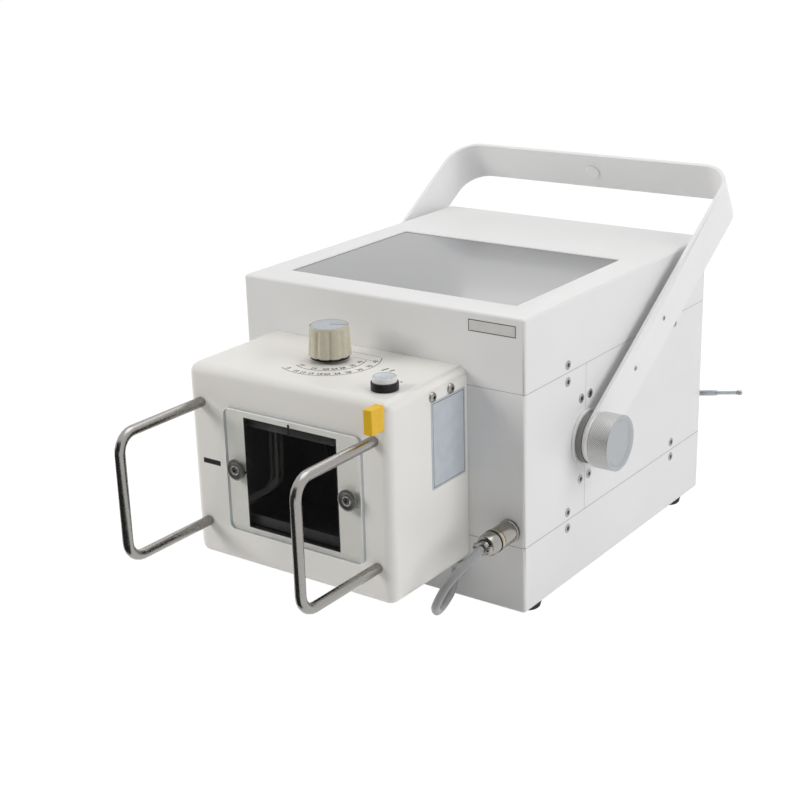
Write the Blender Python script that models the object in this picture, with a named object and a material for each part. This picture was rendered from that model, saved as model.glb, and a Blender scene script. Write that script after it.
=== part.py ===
"""Portable X-ray machine: a box housing with a touch screen in its lid, a beam collimator on
its front between two grab handles, a swinging carrying handle and a telescopic antenna.

Metres, +Z up. The front, with the collimator, looks along -Y. The origin is the centre of the
base tray's underside, and the rubber feet stand below it.
"""
import math

import bmesh
import bpy
from mathutils import Matrix, Vector

MM = 0.001
SEAT = 0.3 * MM                   # gap between two pieces that touch

# Housing: a base tray, a middle band in two halves and a lid
HOUSING_WIDTH = 260 * MM
HOUSING_DEPTH = 297 * MM
HOUSING_HEIGHT = 229 * MM
HOUSING_WALL = 2 * MM
HOUSING_ROUND = 2.5 * MM
TRAY_HEIGHT = 53.5 * MM
LID_HEIGHT = 56 * MM
LID_ROOF = 4.5 * MM
BAND_SPLIT = 89.5 * MM            # from the front face back to the joint of the two halves
STAND_HOLE_SPACING = 100 * MM
STAND_HOLE_RADIUS = 3.2 * MM

# Touch screen in the lid
SCREEN_WIDTH = 211.5 * MM
SCREEN_LENGTH = 159.5 * MM
SCREEN_MARGIN = 28.5 * MM         # from the front face to the screen
SCREEN_DROP = 0.8 * MM            # how far the glass lies below the lid's top
GLASS_THICKNESS = 1.6 * MM
GLASS_LEDGE = 4 * MM
PANEL_THICKNESS = 3 * MM

# Feet
FOOT_HEIGHT = 8 * MM
FOOT_TOP_RADIUS = 12 * MM
FOOT_BOTTOM_RADIUS = 10.5 * MM
FOOT_INSET_X = 15 * MM            # from the housing's side to the foot's centre
FOOT_INSET_Y = 28 * MM

# Tube head inside the housing, one plain block
TUBE_HEAD_WIDTH = 170 * MM
TUBE_HEAD_DEPTH = 190 * MM
TUBE_HEAD_HEIGHT = 150 * MM
TUBE_HEAD_GAP = 6 * MM            # behind the front cover

# Collimator
COLLIMATOR_WIDTH = 186 * MM
COLLIMATOR_DEPTH = 98 * MM
COLLIMATOR_HEIGHT = 154 * MM
COLLIMATOR_X = -12 * MM
COLLIMATOR_BOTTOM = 33 * MM
COLLIMATOR_WALL = 3 * MM
COLLIMATOR_FRONT_WALL = 5 * MM
COLLIMATOR_ROUND = 8 * MM
PORT_RADIUS = 42 * MM

# Window in the collimator's front
WINDOW_WIDTH = 124 * MM
WINDOW_HEIGHT = 96 * MM
WINDOW_THICKNESS = 2.5 * MM
WINDOW_ROUND = 8 * MM
WINDOW_X = -9.5 * MM
WINDOW_Z = 108 * MM
APERTURE_WIDTH = 85 * MM
APERTURE_HEIGHT = 86 * MM
APERTURE_X = -11 * MM
LINER_MARGIN = 7 * MM             # liner's inside beyond the aperture's edge
LINER_DEPTH = 72 * MM
LINER_WALL = 1.5 * MM
BEAM_PORT_RADIUS = 24 * MM
WINDOW_SCREW_SPACING = 105 * MM
WASHER_RADIUS = 8.2 * MM
WASHER_THICKNESS = 2.4 * MM
SCREW_HEAD_RADIUS = 3.4 * MM
SCREW_HEAD_HEIGHT = 2.2 * MM

# Grab handles on the collimator's front
GRAB_SPACING = 160 * MM
GRAB_PITCH = 96 * MM              # between one handle's two feet
GRAB_REACH = 86 * MM              # from the front face to the grip's centre line
GRAB_ROD_RADIUS = 4 * MM
GRAB_BEND = 14 * MM

# Controls on the collimator
FIELD_KNOB_X = -15.3 * MM
FIELD_KNOB_SETBACK = 37.9 * MM    # in front of the housing
FIELD_KNOB_RADIUS = 16.1 * MM
FIELD_KNOB_TOP_RADIUS = 14.9 * MM
FIELD_KNOB_HEIGHT = 27.2 * MM
FIELD_KNOB_COLLAR = 3 * MM        # plain band above the flutes
FIELD_KNOB_FLUTES = 10
FIELD_KNOB_TURN = 20                # degrees from +X to the first flute
FIELD_KNOB_FLUTE_DEPTH = 1.3 * MM
FIELD_KNOB_FOOT_RADIUS = 9 * MM
FIELD_KNOB_FOOT_HEIGHT = 4 * MM
KNOB_CAP_RADIUS = 13.5 * MM
KNOB_CAP_THICKNESS = 1.2 * MM
BUTTON_X = 60 * MM
BUTTON_SETBACK = 72.5 * MM
BUTTON_BEZEL_RADIUS = 10 * MM
BUTTON_BEZEL_HEIGHT = 6.2 * MM
BUTTON_CAP_RADIUS = 8.8 * MM
BUTTON_CAP_RISE = 4.8 * MM
TAB_WIDTH = 7.3 * MM
TAB_DEPTH = 14 * MM
TAB_HEIGHT = 18.5 * MM
TAB_INSET = 3.5 * MM              # from the collimator's side
TAB_BOTTOM = 167.5 * MM

# Collimator cable with its plug and socket
CONNECTOR_INSET = 13 * MM         # from the housing's right side
CONNECTOR_Z = 65.5 * MM
CONNECTOR_RADIUS = 9 * MM
CONNECTOR_FLANGE = 3 * MM
CONNECTOR_STEM_RADIUS = 5 * MM
PLUG_LENGTH = 36 * MM
CABLE_RADIUS = 3.1 * MM
GLAND_X = 72.5 * MM
GLAND_SETBACK = 6.3 * MM
GLAND_RADIUS = 5.5 * MM
GLAND_LENGTH = 5 * MM

# Carrying handle and its pivots
PIVOT_SETBACK = 89.3 * MM         # from the front face
PIVOT_Z = 114 * MM
HANDLE_REACH = 290.5 * MM         # from the pivot to the bar's outer face
HANDLE_STRIP_WIDTH = 38 * MM
HANDLE_STRIP_THICKNESS = 3 * MM
HANDLE_BEND = 27 * MM
HANDLE_LEAN = 58.0                # degrees back from upright, as it stands in the photograph
HANDLE_CAP_RADIUS = 7 * MM
PIVOT_RING_RADIUS = 22 * MM
PIVOT_RING_THICKNESS = 1.9 * MM
PIVOT_SPACER_RADIUS = 20 * MM
PIVOT_SPACER_THICKNESS = 4.7 * MM
PIVOT_STUD_RADIUS = 4 * MM
PIVOT_BORE_CLEARANCE = 0.5 * MM
CLAMP_FLANGE_RADIUS = 21.2 * MM
CLAMP_FLANGE_THICKNESS = 2.2 * MM
CLAMP_GROOVE_RADIUS = 19.5 * MM   # between the flange and the knurled drum
CLAMP_GROOVE_WIDTH = 0.6 * MM
CLAMP_KNOB_RADIUS = 21.85 * MM
CLAMP_KNOB_LENGTH = 16.8 * MM
CLAMP_KNOB_EDGE = 0.5 * MM
CLAMP_FACE_RIM = 3 * MM
CLAMP_FACE_DEPTH = 1.2 * MM

# Antenna on the back
ANTENNA_INSET = 90 * MM           # from the housing's right side
ANTENNA_Z = 69.5 * MM
ANTENNA_TILT = 10.3               # degrees above level
ANTENNA_FLANGE_RADIUS = 8 * MM
ANTENNA_FLANGE_THICKNESS = 2.5 * MM
ANTENNA_BOSS_RADIUS = 5.5 * MM
ANTENNA_BOSS_LENGTH = 2 * MM
ANTENNA_PIN_RADIUS = 1.6 * MM
ANTENNA_KNUCKLE_RADIUS = 5 * MM
ANTENNA_KNUCKLE_THICKNESS = 6.4 * MM
ANTENNA_HEAD_RADIUS = 3.2 * MM
ANTENNA_HEAD_THICKNESS = 1.2 * MM
ANTENNA_MAST_RADIUS = 2.6 * MM
ANTENNA_MAST_LENGTH = 103.5 * MM
ANTENNA_BORE_LENGTH = 92 * MM
ANTENNA_ROD_RADIUS = 1.7 * MM
ANTENNA_BORE_CLEARANCE = 0.2 * MM
ANTENNA_ROD_SHOWS = 19 * MM
ANTENNA_TIP_RADIUS = 2.2 * MM
ANTENNA_TIP_LENGTH = 4.2 * MM

# Sockets and switch on the back
POWER_INSET = 45 * MM             # from the housing's left side to the inlet and the switch
INLET_Z = 82 * MM
INLET_WIDTH = 31 * MM
INLET_HEIGHT = 24 * MM
INLET_FLANGE = 3 * MM
INLET_DEPTH = 20 * MM
INLET_CAVITY_WIDTH = 25 * MM
INLET_CAVITY_HEIGHT = 17.5 * MM
INLET_CAVITY_DEPTH = 15 * MM
SWITCH_Z = 120 * MM
SWITCH_WIDTH = 30 * MM
SWITCH_HEIGHT = 22 * MM
SWITCH_RIM = 2 * MM
SWITCH_FRAME_BAR = 3 * MM
HAND_SOCKET_SPACING = 47 * MM     # from the inlet
HAND_SOCKET_Z = 82 * MM
HAND_SOCKET_RADIUS = 9 * MM
HAND_SOCKET_BORE = 6 * MM
HAND_SOCKET_BORE_DEPTH = 9 * MM
VENT_SLOTS = 12
VENT_PITCH = 8 * MM
VENT_SLOT_WIDTH = 3 * MM
VENT_SLOT_HEIGHT = 26 * MM
VENT_INSET = 90 * MM              # from the housing's right side to the slots' middle
VENT_Z = 135 * MM

# Places that several pieces share
FRONT_Y = -HOUSING_DEPTH / 2
REAR_Y = HOUSING_DEPTH / 2
SIDE_X = HOUSING_WIDTH / 2
LID_BOTTOM = HOUSING_HEIGHT - LID_HEIGHT
COLLIMATOR_BACK_Y = FRONT_Y - SEAT
COLLIMATOR_FRONT_Y = FRONT_Y - COLLIMATOR_DEPTH
COLLIMATOR_TOP = COLLIMATOR_BOTTOM + COLLIMATOR_HEIGHT
CONNECTOR_X = SIDE_X - CONNECTOR_INSET
PIVOT_Y = FRONT_Y + PIVOT_SETBACK
PIVOT_BORE_RADIUS = PIVOT_STUD_RADIUS + PIVOT_BORE_CLEARANCE
RING_OUTER_X = SIDE_X + SEAT + PIVOT_RING_THICKNESS
SPACER_OUTER_X = RING_OUTER_X + SEAT + PIVOT_SPACER_THICKNESS
ARM_INNER_X = SPACER_OUTER_X + SEAT
ARM_OUTER_X = ARM_INNER_X + HANDLE_STRIP_THICKNESS
ANTENNA_X = SIDE_X - ANTENNA_INSET
INLET_X = -SIDE_X + POWER_INSET
SWITCH_X = INLET_X
HAND_SOCKET_X = INLET_X + HAND_SOCKET_SPACING
VENT_X = SIDE_X - VENT_INSET


def clear_scene():
    """Remove what a new Blender file starts with."""
    for obj in list(bpy.data.objects):
        bpy.data.objects.remove(obj, do_unlink=True)


def material(name, colour, roughness, metallic=0.0):
    """A Principled material in the piece's own colour."""
    mat = bpy.data.materials.new(name)
    mat.use_nodes = True
    shader = mat.node_tree.nodes["Principled BSDF"]
    shader.inputs["Base Color"].default_value = (*colour, 1.0)
    shader.inputs["Roughness"].default_value = roughness
    shader.inputs["Metallic"].default_value = metallic
    mat.diffuse_color = (*colour, 1.0)
    return mat


def place(obj, mat, location=(0, 0, 0), parent=None):
    """Link an object to the scene with its material, place and parent."""
    bpy.context.scene.collection.objects.link(obj)
    if mat:
        obj.data.materials.append(mat)
    obj.location = location
    if parent:
        obj.parent = parent
    return obj


def mesh_object(name, bm, mat, location=(0, 0, 0), parent=None, smooth=30):
    """Turn a bmesh into a placed object, its normals facing out."""
    bmesh.ops.recalc_face_normals(bm, faces=bm.faces)
    mesh = bpy.data.meshes.new(name)
    bm.to_mesh(mesh)
    bm.free()
    mesh.shade_smooth()
    mesh.set_sharp_from_angle(angle=math.radians(smooth))
    return place(bpy.data.objects.new(name, mesh), mat, location, parent)


def box_bmesh(low, high):
    """A box between two corners."""
    bm = bmesh.new()
    bmesh.ops.create_cube(bm, size=1.0)
    for vert in bm.verts:
        for axis in range(3):
            vert.co[axis] = low[axis] if vert.co[axis] < 0 else high[axis]
    return bm


def round_edges(bm, radius, segments, chosen):
    """Round the edges that the test `chosen(edge)` picks."""
    edges = [edge for edge in bm.edges if chosen(edge)]
    bmesh.ops.bevel(bm, geom=edges, offset=radius, segments=segments, profile=0.5, affect="EDGES")


def runs_along(edge, axis):
    """Whether an edge runs along one axis, 0 to 2 for X to Z."""
    direction = edge.verts[1].co - edge.verts[0].co
    return abs(direction[axis]) > 0.99 * direction.length


def lies_on(edge, axis, value):
    """Whether both ends of an edge lie at one value of an axis."""
    return all(abs(vert.co[axis] - value) < 1e-6 for vert in edge.verts)


def rounded_rectangle(width, height, radius, steps=4):
    """The outline of a rectangle with round corners, about the origin, anticlockwise."""
    points = []
    for sx, sy, start in ((1, 1, 0), (-1, 1, 90), (-1, -1, 180), (1, -1, 270)):
        centre = Vector((sx * (width / 2 - radius), sy * (height / 2 - radius)))
        for step in range(steps + 1):
            angle = math.radians(start + 90 * step / steps)
            points.append(centre + radius * Vector((math.cos(angle), math.sin(angle))))
    return points


def slab_bmesh(outline, thickness):
    """An outline in the XZ plane, extruded from y = 0 to y = thickness."""
    bm = bmesh.new()
    verts = [bm.verts.new((point[0], 0, point[1])) for point in outline]
    face = bm.faces.new(verts)
    moved = bmesh.ops.extrude_face_region(bm, geom=[face])
    new_verts = [item for item in moved["geom"] if isinstance(item, bmesh.types.BMVert)]
    bmesh.ops.translate(bm, vec=(0, thickness, 0), verts=new_verts)
    return bm


def turned_bmesh(profile, steps=32):
    """A profile of (radius, height) pairs turned about Z. It starts and ends on the axis, or
    closes on itself as a ring."""
    bm = bmesh.new()
    verts = [bm.verts.new((radius, 0, height)) for radius, height in profile]
    edges = [bm.edges.new(pair) for pair in zip(verts, verts[1:])]
    if profile[0][0] > 0:
        edges.append(bm.edges.new((verts[-1], verts[0])))
    bmesh.ops.spin(bm, geom=verts + edges, cent=(0, 0, 0), axis=(0, 0, 1),
                   angle=math.tau, steps=steps, use_merge=True)
    bmesh.ops.remove_doubles(bm, verts=bm.verts, dist=1e-7)
    return bm


def ring_profile(inner, outer, low, high):
    """The profile of a plain ring."""
    return [(inner, low), (outer, low), (outer, high), (inner, high)]


def turn(bm, axis, angle):
    """Turn a bmesh about one axis of its own frame, in degrees."""
    bmesh.ops.rotate(bm, cent=(0, 0, 0), matrix=Matrix.Rotation(math.radians(angle), 3, axis),
                     verts=bm.verts)
    return bm


def facing_front(bm):
    """Turn a shape made along +Z to point along -Y."""
    return turn(bm, "X", 90)


def facing_back(bm):
    """Turn a shape made along +Z to point along +Y."""
    return turn(bm, "X", -90)


def facing_side(bm, side):
    """Turn a shape made along +Z to point along +X or -X."""
    return turn(bm, "Y", 90 * side)


def cut(obj, bm, location=(0, 0, 0), name="cutter"):
    """Subtract a bmesh from an object with a live Boolean."""
    cutter = mesh_object(f"{name}_{len(bpy.data.objects)}", bm, None, location)
    cutter.display_type = "WIRE"
    cutter.hide_render = True
    boolean = obj.modifiers.new(name, "BOOLEAN")
    boolean.operation = "DIFFERENCE"
    boolean.solver = "EXACT"
    boolean.object = cutter
    return cutter


def arc(centre, radius, start, end, steps):
    """Points along an arc in a plane, angles in degrees."""
    points = []
    for step in range(steps + 1):
        angle = math.radians(start + (end - start) * step / steps)
        points.append((centre[0] + radius * math.cos(angle), centre[1] + radius * math.sin(angle)))
    return points


def tube_object(name, points, radius, mat, location=(0, 0, 0), resolution=4):
    """A round bar or cable along points, as a curve with filled ends."""
    curve = bpy.data.curves.new(name, "CURVE")
    curve.dimensions = "3D"
    curve.bevel_depth = radius
    curve.bevel_resolution = resolution
    curve.use_fill_caps = True
    spline = curve.splines.new("POLY")
    spline.points.add(len(points) - 1)
    for item, point in zip(spline.points, points):
        item.co = (*point, 1.0)
    return place(bpy.data.objects.new(name, curve), mat, location)


def smooth_route(points, steps):
    """Points read from a Catmull-Rom curve through a route's own points."""
    padded = [2 * points[0] - points[1], *points, 2 * points[-1] - points[-2]]
    route = []
    for before, start, end, after in zip(padded, padded[1:], padded[2:], padded[3:]):
        for step in range(steps):
            t = step / steps
            route.append(0.5 * (2 * start + (end - before) * t
                                + (2 * before - 5 * start + 4 * end - after) * t ** 2
                                + (3 * start - before - 3 * end + after) * t ** 3))
    return [*route, points[-1]]


def housing_shell(name, low_z, high_z, front_y, rear_y, roof, floor, closed_ends, mat):
    """One cover of the housing: a rounded box with its inside cut out.

    roof and floor are wall thicknesses, 0 where that side is open. closed_ends names the
    walls at the front and the rear that are there.
    """
    ends = {"front": front_y, "rear": rear_y}
    bm = box_bmesh((-SIDE_X, front_y, low_z), (SIDE_X, rear_y, high_z))
    closed = [ends[end] for end in closed_ends]

    def is_outer(edge):
        upright = runs_along(edge, 2) and any(lies_on(edge, 1, y) for y in closed)
        top = roof > 0 and lies_on(edge, 2, high_z)
        bottom = floor > 0 and lies_on(edge, 2, low_z)
        return upright or top or bottom

    round_edges(bm, HOUSING_ROUND, 3, is_outer)
    shell = mesh_object(name, bm, mat)
    past = 10 * MM
    inner_low = (-SIDE_X + HOUSING_WALL,
                 front_y + HOUSING_WALL if "front" in closed_ends else front_y - past,
                 low_z + floor if floor else low_z - past)
    inner_high = (SIDE_X - HOUSING_WALL,
                  rear_y - HOUSING_WALL if "rear" in closed_ends else rear_y + past,
                  high_z - roof if roof else high_z + past)
    cut(shell, box_bmesh(inner_low, inner_high), name="inside")
    return shell


def build_base_tray(mat):
    """The base: floor and four low walls, with the hole pattern for a stand."""
    tray = housing_shell("base_tray", 0, TRAY_HEIGHT - SEAT / 2, FRONT_Y, REAR_Y,
                         0, HOUSING_WALL, ("front", "rear"), mat)
    for side_x in (-1, 1):
        for side_y in (-1, 1):
            hole = turned_bmesh([(0, HOUSING_WALL * 2), (STAND_HOLE_RADIUS, HOUSING_WALL * 2),
                                 (STAND_HOLE_RADIUS, -HOUSING_WALL), (0, -HOUSING_WALL)], 16)
            cut(tray, hole, (side_x * STAND_HOLE_SPACING / 2, side_y * STAND_HOLE_SPACING / 2, 0),
                "stand_hole")


def build_middle_band(mat):
    """The front and rear halves of the middle band, split at the handle's pivots."""
    low = TRAY_HEIGHT + SEAT / 2
    high = LID_BOTTOM - SEAT / 2
    split = FRONT_Y + BAND_SPLIT
    front = housing_shell("middle_front_cover", low, high, FRONT_Y, split - SEAT / 2,
                          0, 0, ("front",), mat)
    through = 4 * HOUSING_WALL
    port = facing_front(turned_bmesh([(0, through), (PORT_RADIUS, through),
                                      (PORT_RADIUS, -through), (0, -through)], 32))
    cut(front, port, (COLLIMATOR_X, FRONT_Y, COLLIMATOR_BOTTOM + COLLIMATOR_HEIGHT / 2), "port")
    stem_hole = CONNECTOR_STEM_RADIUS + SEAT
    cut(front, facing_front(turned_bmesh([(0, through), (stem_hole, through),
                                          (stem_hole, -through), (0, -through)], 20)),
        (CONNECTOR_X, FRONT_Y, CONNECTOR_Z), "connector_hole")

    rear = housing_shell("middle_rear_cover", low, high, split + SEAT / 2, REAR_Y,
                         0, 0, ("rear",), mat)
    for name, x, z, width, height in (
            ("inlet_hole", INLET_X, INLET_Z, INLET_WIDTH, INLET_HEIGHT),
            ("switch_hole", SWITCH_X, SWITCH_Z, SWITCH_WIDTH, SWITCH_HEIGHT)):
        half = Vector((width / 2 - INLET_FLANGE / 2, through, height / 2 - INLET_FLANGE / 2))
        cut(rear, box_bmesh(-half, half), (x, REAR_Y, z), name)
    hand_hole = HAND_SOCKET_BORE + 1.5 * MM + SEAT
    cut(rear, facing_back(turned_bmesh([(0, through), (hand_hole, through),
                                        (hand_hole, -through), (0, -through)], 24)),
        (HAND_SOCKET_X, REAR_Y, HAND_SOCKET_Z), "hand_socket_hole")
    slot = rounded_rectangle(VENT_SLOT_WIDTH, VENT_SLOT_HEIGHT, VENT_SLOT_WIDTH * 0.49, 2)
    for index in range(VENT_SLOTS):
        x = VENT_X + (index - (VENT_SLOTS - 1) / 2) * VENT_PITCH
        cut(rear, slab_bmesh(slot, 2 * through), (x, REAR_Y - through, VENT_Z), "vent_slot")


def build_lid(white, glass, grey):
    """The lid with its screen: a recess for the glass and a window for the display below it."""
    lid = housing_shell("top_cover", LID_BOTTOM + SEAT / 2, HOUSING_HEIGHT, FRONT_Y, REAR_Y,
                        LID_ROOF, 0, ("front", "rear"), white)
    centre_y = FRONT_Y + SCREEN_MARGIN + SCREEN_LENGTH / 2
    glass_top = HOUSING_HEIGHT - SCREEN_DROP
    ledge_z = glass_top - GLASS_THICKNESS - SEAT
    half = Vector((SCREEN_WIDTH / 2, SCREEN_LENGTH / 2, 0))
    window = half - Vector((GLASS_LEDGE, GLASS_LEDGE, 0))
    rise = Vector((0, 0, 10 * MM))
    cut(lid, box_bmesh(-half, half + rise), (0, centre_y, ledge_z), "screen_recess")
    cut(lid, box_bmesh(-window - rise, window + rise), (0, centre_y, ledge_z), "screen_window")

    fit = Vector((SEAT, SEAT, 0))
    mesh_object("screen_glass", box_bmesh(-half + fit, half - fit + Vector((0, 0, GLASS_THICKNESS))),
                glass, (0, centre_y, glass_top - GLASS_THICKNESS))
    mesh_object("screen_panel", box_bmesh(-window + fit - Vector((0, 0, PANEL_THICKNESS)), window - fit),
                grey, (0, centre_y, ledge_z))


def build_feet(rubber):
    """Four tapered rubber feet under the base tray."""
    profile = [(0, -SEAT), (FOOT_TOP_RADIUS, -SEAT), (FOOT_BOTTOM_RADIUS, -FOOT_HEIGHT + 1 * MM),
               (FOOT_BOTTOM_RADIUS - 1 * MM, -FOOT_HEIGHT), (0, -FOOT_HEIGHT)]
    for name, side_x, side_y in (("foot_front_left", -1, -1), ("foot_front_right", 1, -1),
                                 ("foot_rear_left", -1, 1), ("foot_rear_right", 1, 1)):
        location = (side_x * (SIDE_X - FOOT_INSET_X), side_y * (REAR_Y - FOOT_INSET_Y), 0)
        mesh_object(name, turned_bmesh(profile, 24), rubber, location)


def build_tube_head(mat):
    """The X-ray tube head: the heavy mass that stands in the tray, behind the front cover."""
    floor = HOUSING_WALL + SEAT
    front = FRONT_Y + HOUSING_WALL + TUBE_HEAD_GAP
    low = (-TUBE_HEAD_WIDTH / 2, front, floor)
    high = (TUBE_HEAD_WIDTH / 2, front + TUBE_HEAD_DEPTH, floor + TUBE_HEAD_HEIGHT)
    mesh_object("tube_head", box_bmesh(low, high), mat)


def build_collimator(cream, black, glass, steel):
    """The collimator's cast shell with its window, and the black light box behind that."""
    half_width = COLLIMATOR_WIDTH / 2
    low = (COLLIMATOR_X - half_width, COLLIMATOR_FRONT_Y, COLLIMATOR_BOTTOM)
    high = (COLLIMATOR_X + half_width, COLLIMATOR_BACK_Y, COLLIMATOR_TOP)
    bm = box_bmesh(low, high)
    round_edges(bm, COLLIMATOR_ROUND, 4, lambda edge: not lies_on(edge, 1, COLLIMATOR_BACK_Y))
    shell = mesh_object("collimator_housing", bm, cream)

    inner_front = COLLIMATOR_FRONT_Y + COLLIMATOR_FRONT_WALL
    inner_low = (low[0] + COLLIMATOR_WALL, inner_front, low[2] + COLLIMATOR_WALL)
    inner_high = (high[0] - COLLIMATOR_WALL, high[1] + 10 * MM, high[2] - COLLIMATOR_WALL)
    inside = box_bmesh(inner_low, inner_high)
    round_edges(inside, COLLIMATOR_ROUND - COLLIMATOR_WALL, 2,
                lambda edge: not lies_on(edge, 1, inner_high[1]))
    cut(shell, inside, name="inside")

    recess_depth = WINDOW_THICKNESS + SEAT
    outline = rounded_rectangle(WINDOW_WIDTH, WINDOW_HEIGHT, WINDOW_ROUND)
    fitted = rounded_rectangle(WINDOW_WIDTH - 2 * SEAT, WINDOW_HEIGHT - 2 * SEAT,
                               WINDOW_ROUND - SEAT)
    cut(shell, slab_bmesh(outline, 10 * MM + recess_depth),
        (WINDOW_X, COLLIMATOR_FRONT_Y - 10 * MM, WINDOW_Z), "window_recess")
    aperture = Vector((APERTURE_WIDTH / 2, 10 * MM, APERTURE_HEIGHT / 2))
    cut(shell, box_bmesh(-aperture, aperture), (APERTURE_X, COLLIMATOR_FRONT_Y, WINDOW_Z), "aperture")

    window = mesh_object("window_plate", slab_bmesh(fitted, WINDOW_THICKNESS), glass,
                         (WINDOW_X, COLLIMATOR_FRONT_Y, WINDOW_Z))
    window.data.materials[0] = glass

    half_liner = Vector((APERTURE_WIDTH / 2 + LINER_MARGIN + LINER_WALL, 0,
                         APERTURE_HEIGHT / 2 + LINER_MARGIN + LINER_WALL))
    liner = mesh_object("light_box", box_bmesh(-half_liner, half_liner + Vector((0, LINER_DEPTH, 0))),
                        black, (APERTURE_X, inner_front + SEAT, WINDOW_Z))
    hollow = half_liner - Vector((LINER_WALL, 0, LINER_WALL))
    cut(liner, box_bmesh(-hollow - Vector((0, 10 * MM, 0)),
                         hollow + Vector((0, LINER_DEPTH - LINER_WALL, 0))),
        liner.location, "light_box_inside")
    port = facing_back(turned_bmesh([(0, LINER_DEPTH + 10 * MM), (BEAM_PORT_RADIUS, LINER_DEPTH + 10 * MM),
                                     (BEAM_PORT_RADIUS, LINER_DEPTH / 2), (0, LINER_DEPTH / 2)], 32))
    cut(liner, port, liner.location, "beam_port")

    washer = [(0, SEAT), (WASHER_RADIUS, SEAT), (WASHER_RADIUS, WASHER_THICKNESS * 0.6),
              (WASHER_RADIUS * 0.8, WASHER_THICKNESS), (SCREW_HEAD_RADIUS * 1.2, WASHER_THICKNESS * 0.7),
              (SCREW_HEAD_RADIUS, WASHER_THICKNESS * 0.7),
              (SCREW_HEAD_RADIUS, WASHER_THICKNESS * 0.7 + SCREW_HEAD_HEIGHT * 0.7),
              (SCREW_HEAD_RADIUS * 0.75, WASHER_THICKNESS * 0.7 + SCREW_HEAD_HEIGHT),
              (0, WASHER_THICKNESS * 0.7 + SCREW_HEAD_HEIGHT)]
    for name, side in (("window_screw_left", -1), ("window_screw_right", 1)):
        mesh_object(name, facing_front(turned_bmesh(washer, 24)), steel,
                    (WINDOW_X + side * WINDOW_SCREW_SPACING / 2, COLLIMATOR_FRONT_Y, WINDOW_Z + 1 * MM))


def build_grab_handles(steel):
    """Two U handles of round bar on the collimator's front."""
    half = GRAB_PITCH / 2
    bend = half - GRAB_BEND
    reach = GRAB_REACH - GRAB_BEND
    outline = [(SEAT, half), *arc((reach, bend), GRAB_BEND, 90, 0, 6),
               *arc((reach, -bend), GRAB_BEND, 0, -90, 6), (SEAT, -half)]
    points = [(0, -out, up) for out, up in outline]
    middle_z = COLLIMATOR_BOTTOM + COLLIMATOR_HEIGHT / 2
    for name, side in (("grab_handle_left", -1), ("grab_handle_right", 1)):
        tube_object(name, points, GRAB_ROD_RADIUS, steel,
                    (COLLIMATOR_X + side * GRAB_SPACING / 2, COLLIMATOR_FRONT_Y, middle_z))


def build_field_knob(beige, blue_grey):
    """The fluted knob that sets the field size, with its coloured cap."""
    top_z = FIELD_KNOB_HEIGHT
    steps = FIELD_KNOB_FLUTES * 8
    bm = bmesh.new()

    def fluted_ring(radius, height, depth):
        ring = []
        for step in range(steps):
            angle = math.tau * step / steps
            flute = max(0.0, math.cos(angle * FIELD_KNOB_FLUTES)) ** 2.5
            size = radius - depth * flute
            turned = angle + math.radians(FIELD_KNOB_TURN)
            ring.append(bm.verts.new((size * math.cos(turned), size * math.sin(turned), height)))
        return ring

    def plain_ring(radius, height):
        return fluted_ring(radius, height, 0)

    edge = 0.9 * MM
    rings = [plain_ring(FIELD_KNOB_FOOT_RADIUS, SEAT),
             plain_ring(FIELD_KNOB_FOOT_RADIUS, FIELD_KNOB_FOOT_HEIGHT),
             fluted_ring(FIELD_KNOB_RADIUS - edge, FIELD_KNOB_FOOT_HEIGHT, FIELD_KNOB_FLUTE_DEPTH),
             fluted_ring(FIELD_KNOB_RADIUS, FIELD_KNOB_FOOT_HEIGHT + edge, FIELD_KNOB_FLUTE_DEPTH),
             fluted_ring(FIELD_KNOB_TOP_RADIUS, top_z - FIELD_KNOB_COLLAR, FIELD_KNOB_FLUTE_DEPTH),
             plain_ring(FIELD_KNOB_TOP_RADIUS, top_z - FIELD_KNOB_COLLAR + edge),
             plain_ring(FIELD_KNOB_TOP_RADIUS, top_z - edge / 2),
             plain_ring(FIELD_KNOB_TOP_RADIUS - edge / 2, top_z),
             plain_ring(KNOB_CAP_RADIUS + SEAT, top_z),
             plain_ring(KNOB_CAP_RADIUS + SEAT, top_z - KNOB_CAP_THICKNESS)]
    for lower, upper in zip(rings, rings[1:]):
        for index in range(steps):
            after = (index + 1) % steps
            bm.faces.new((lower[index], lower[after], upper[after], upper[index]))
    bm.faces.new(list(reversed(rings[0])))
    bm.faces.new(rings[-1])
    location = (FIELD_KNOB_X, FRONT_Y - FIELD_KNOB_SETBACK, COLLIMATOR_TOP)
    mesh_object("field_knob", bm, beige, location)
    low = top_z - KNOB_CAP_THICKNESS + SEAT
    cap = [(0, low), (KNOB_CAP_RADIUS, low), (KNOB_CAP_RADIUS, top_z - SEAT),
           (KNOB_CAP_RADIUS - 0.4 * MM, top_z), (0, top_z)]
    mesh_object("field_knob_cap", turned_bmesh(cap, 32), blue_grey, location)


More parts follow.
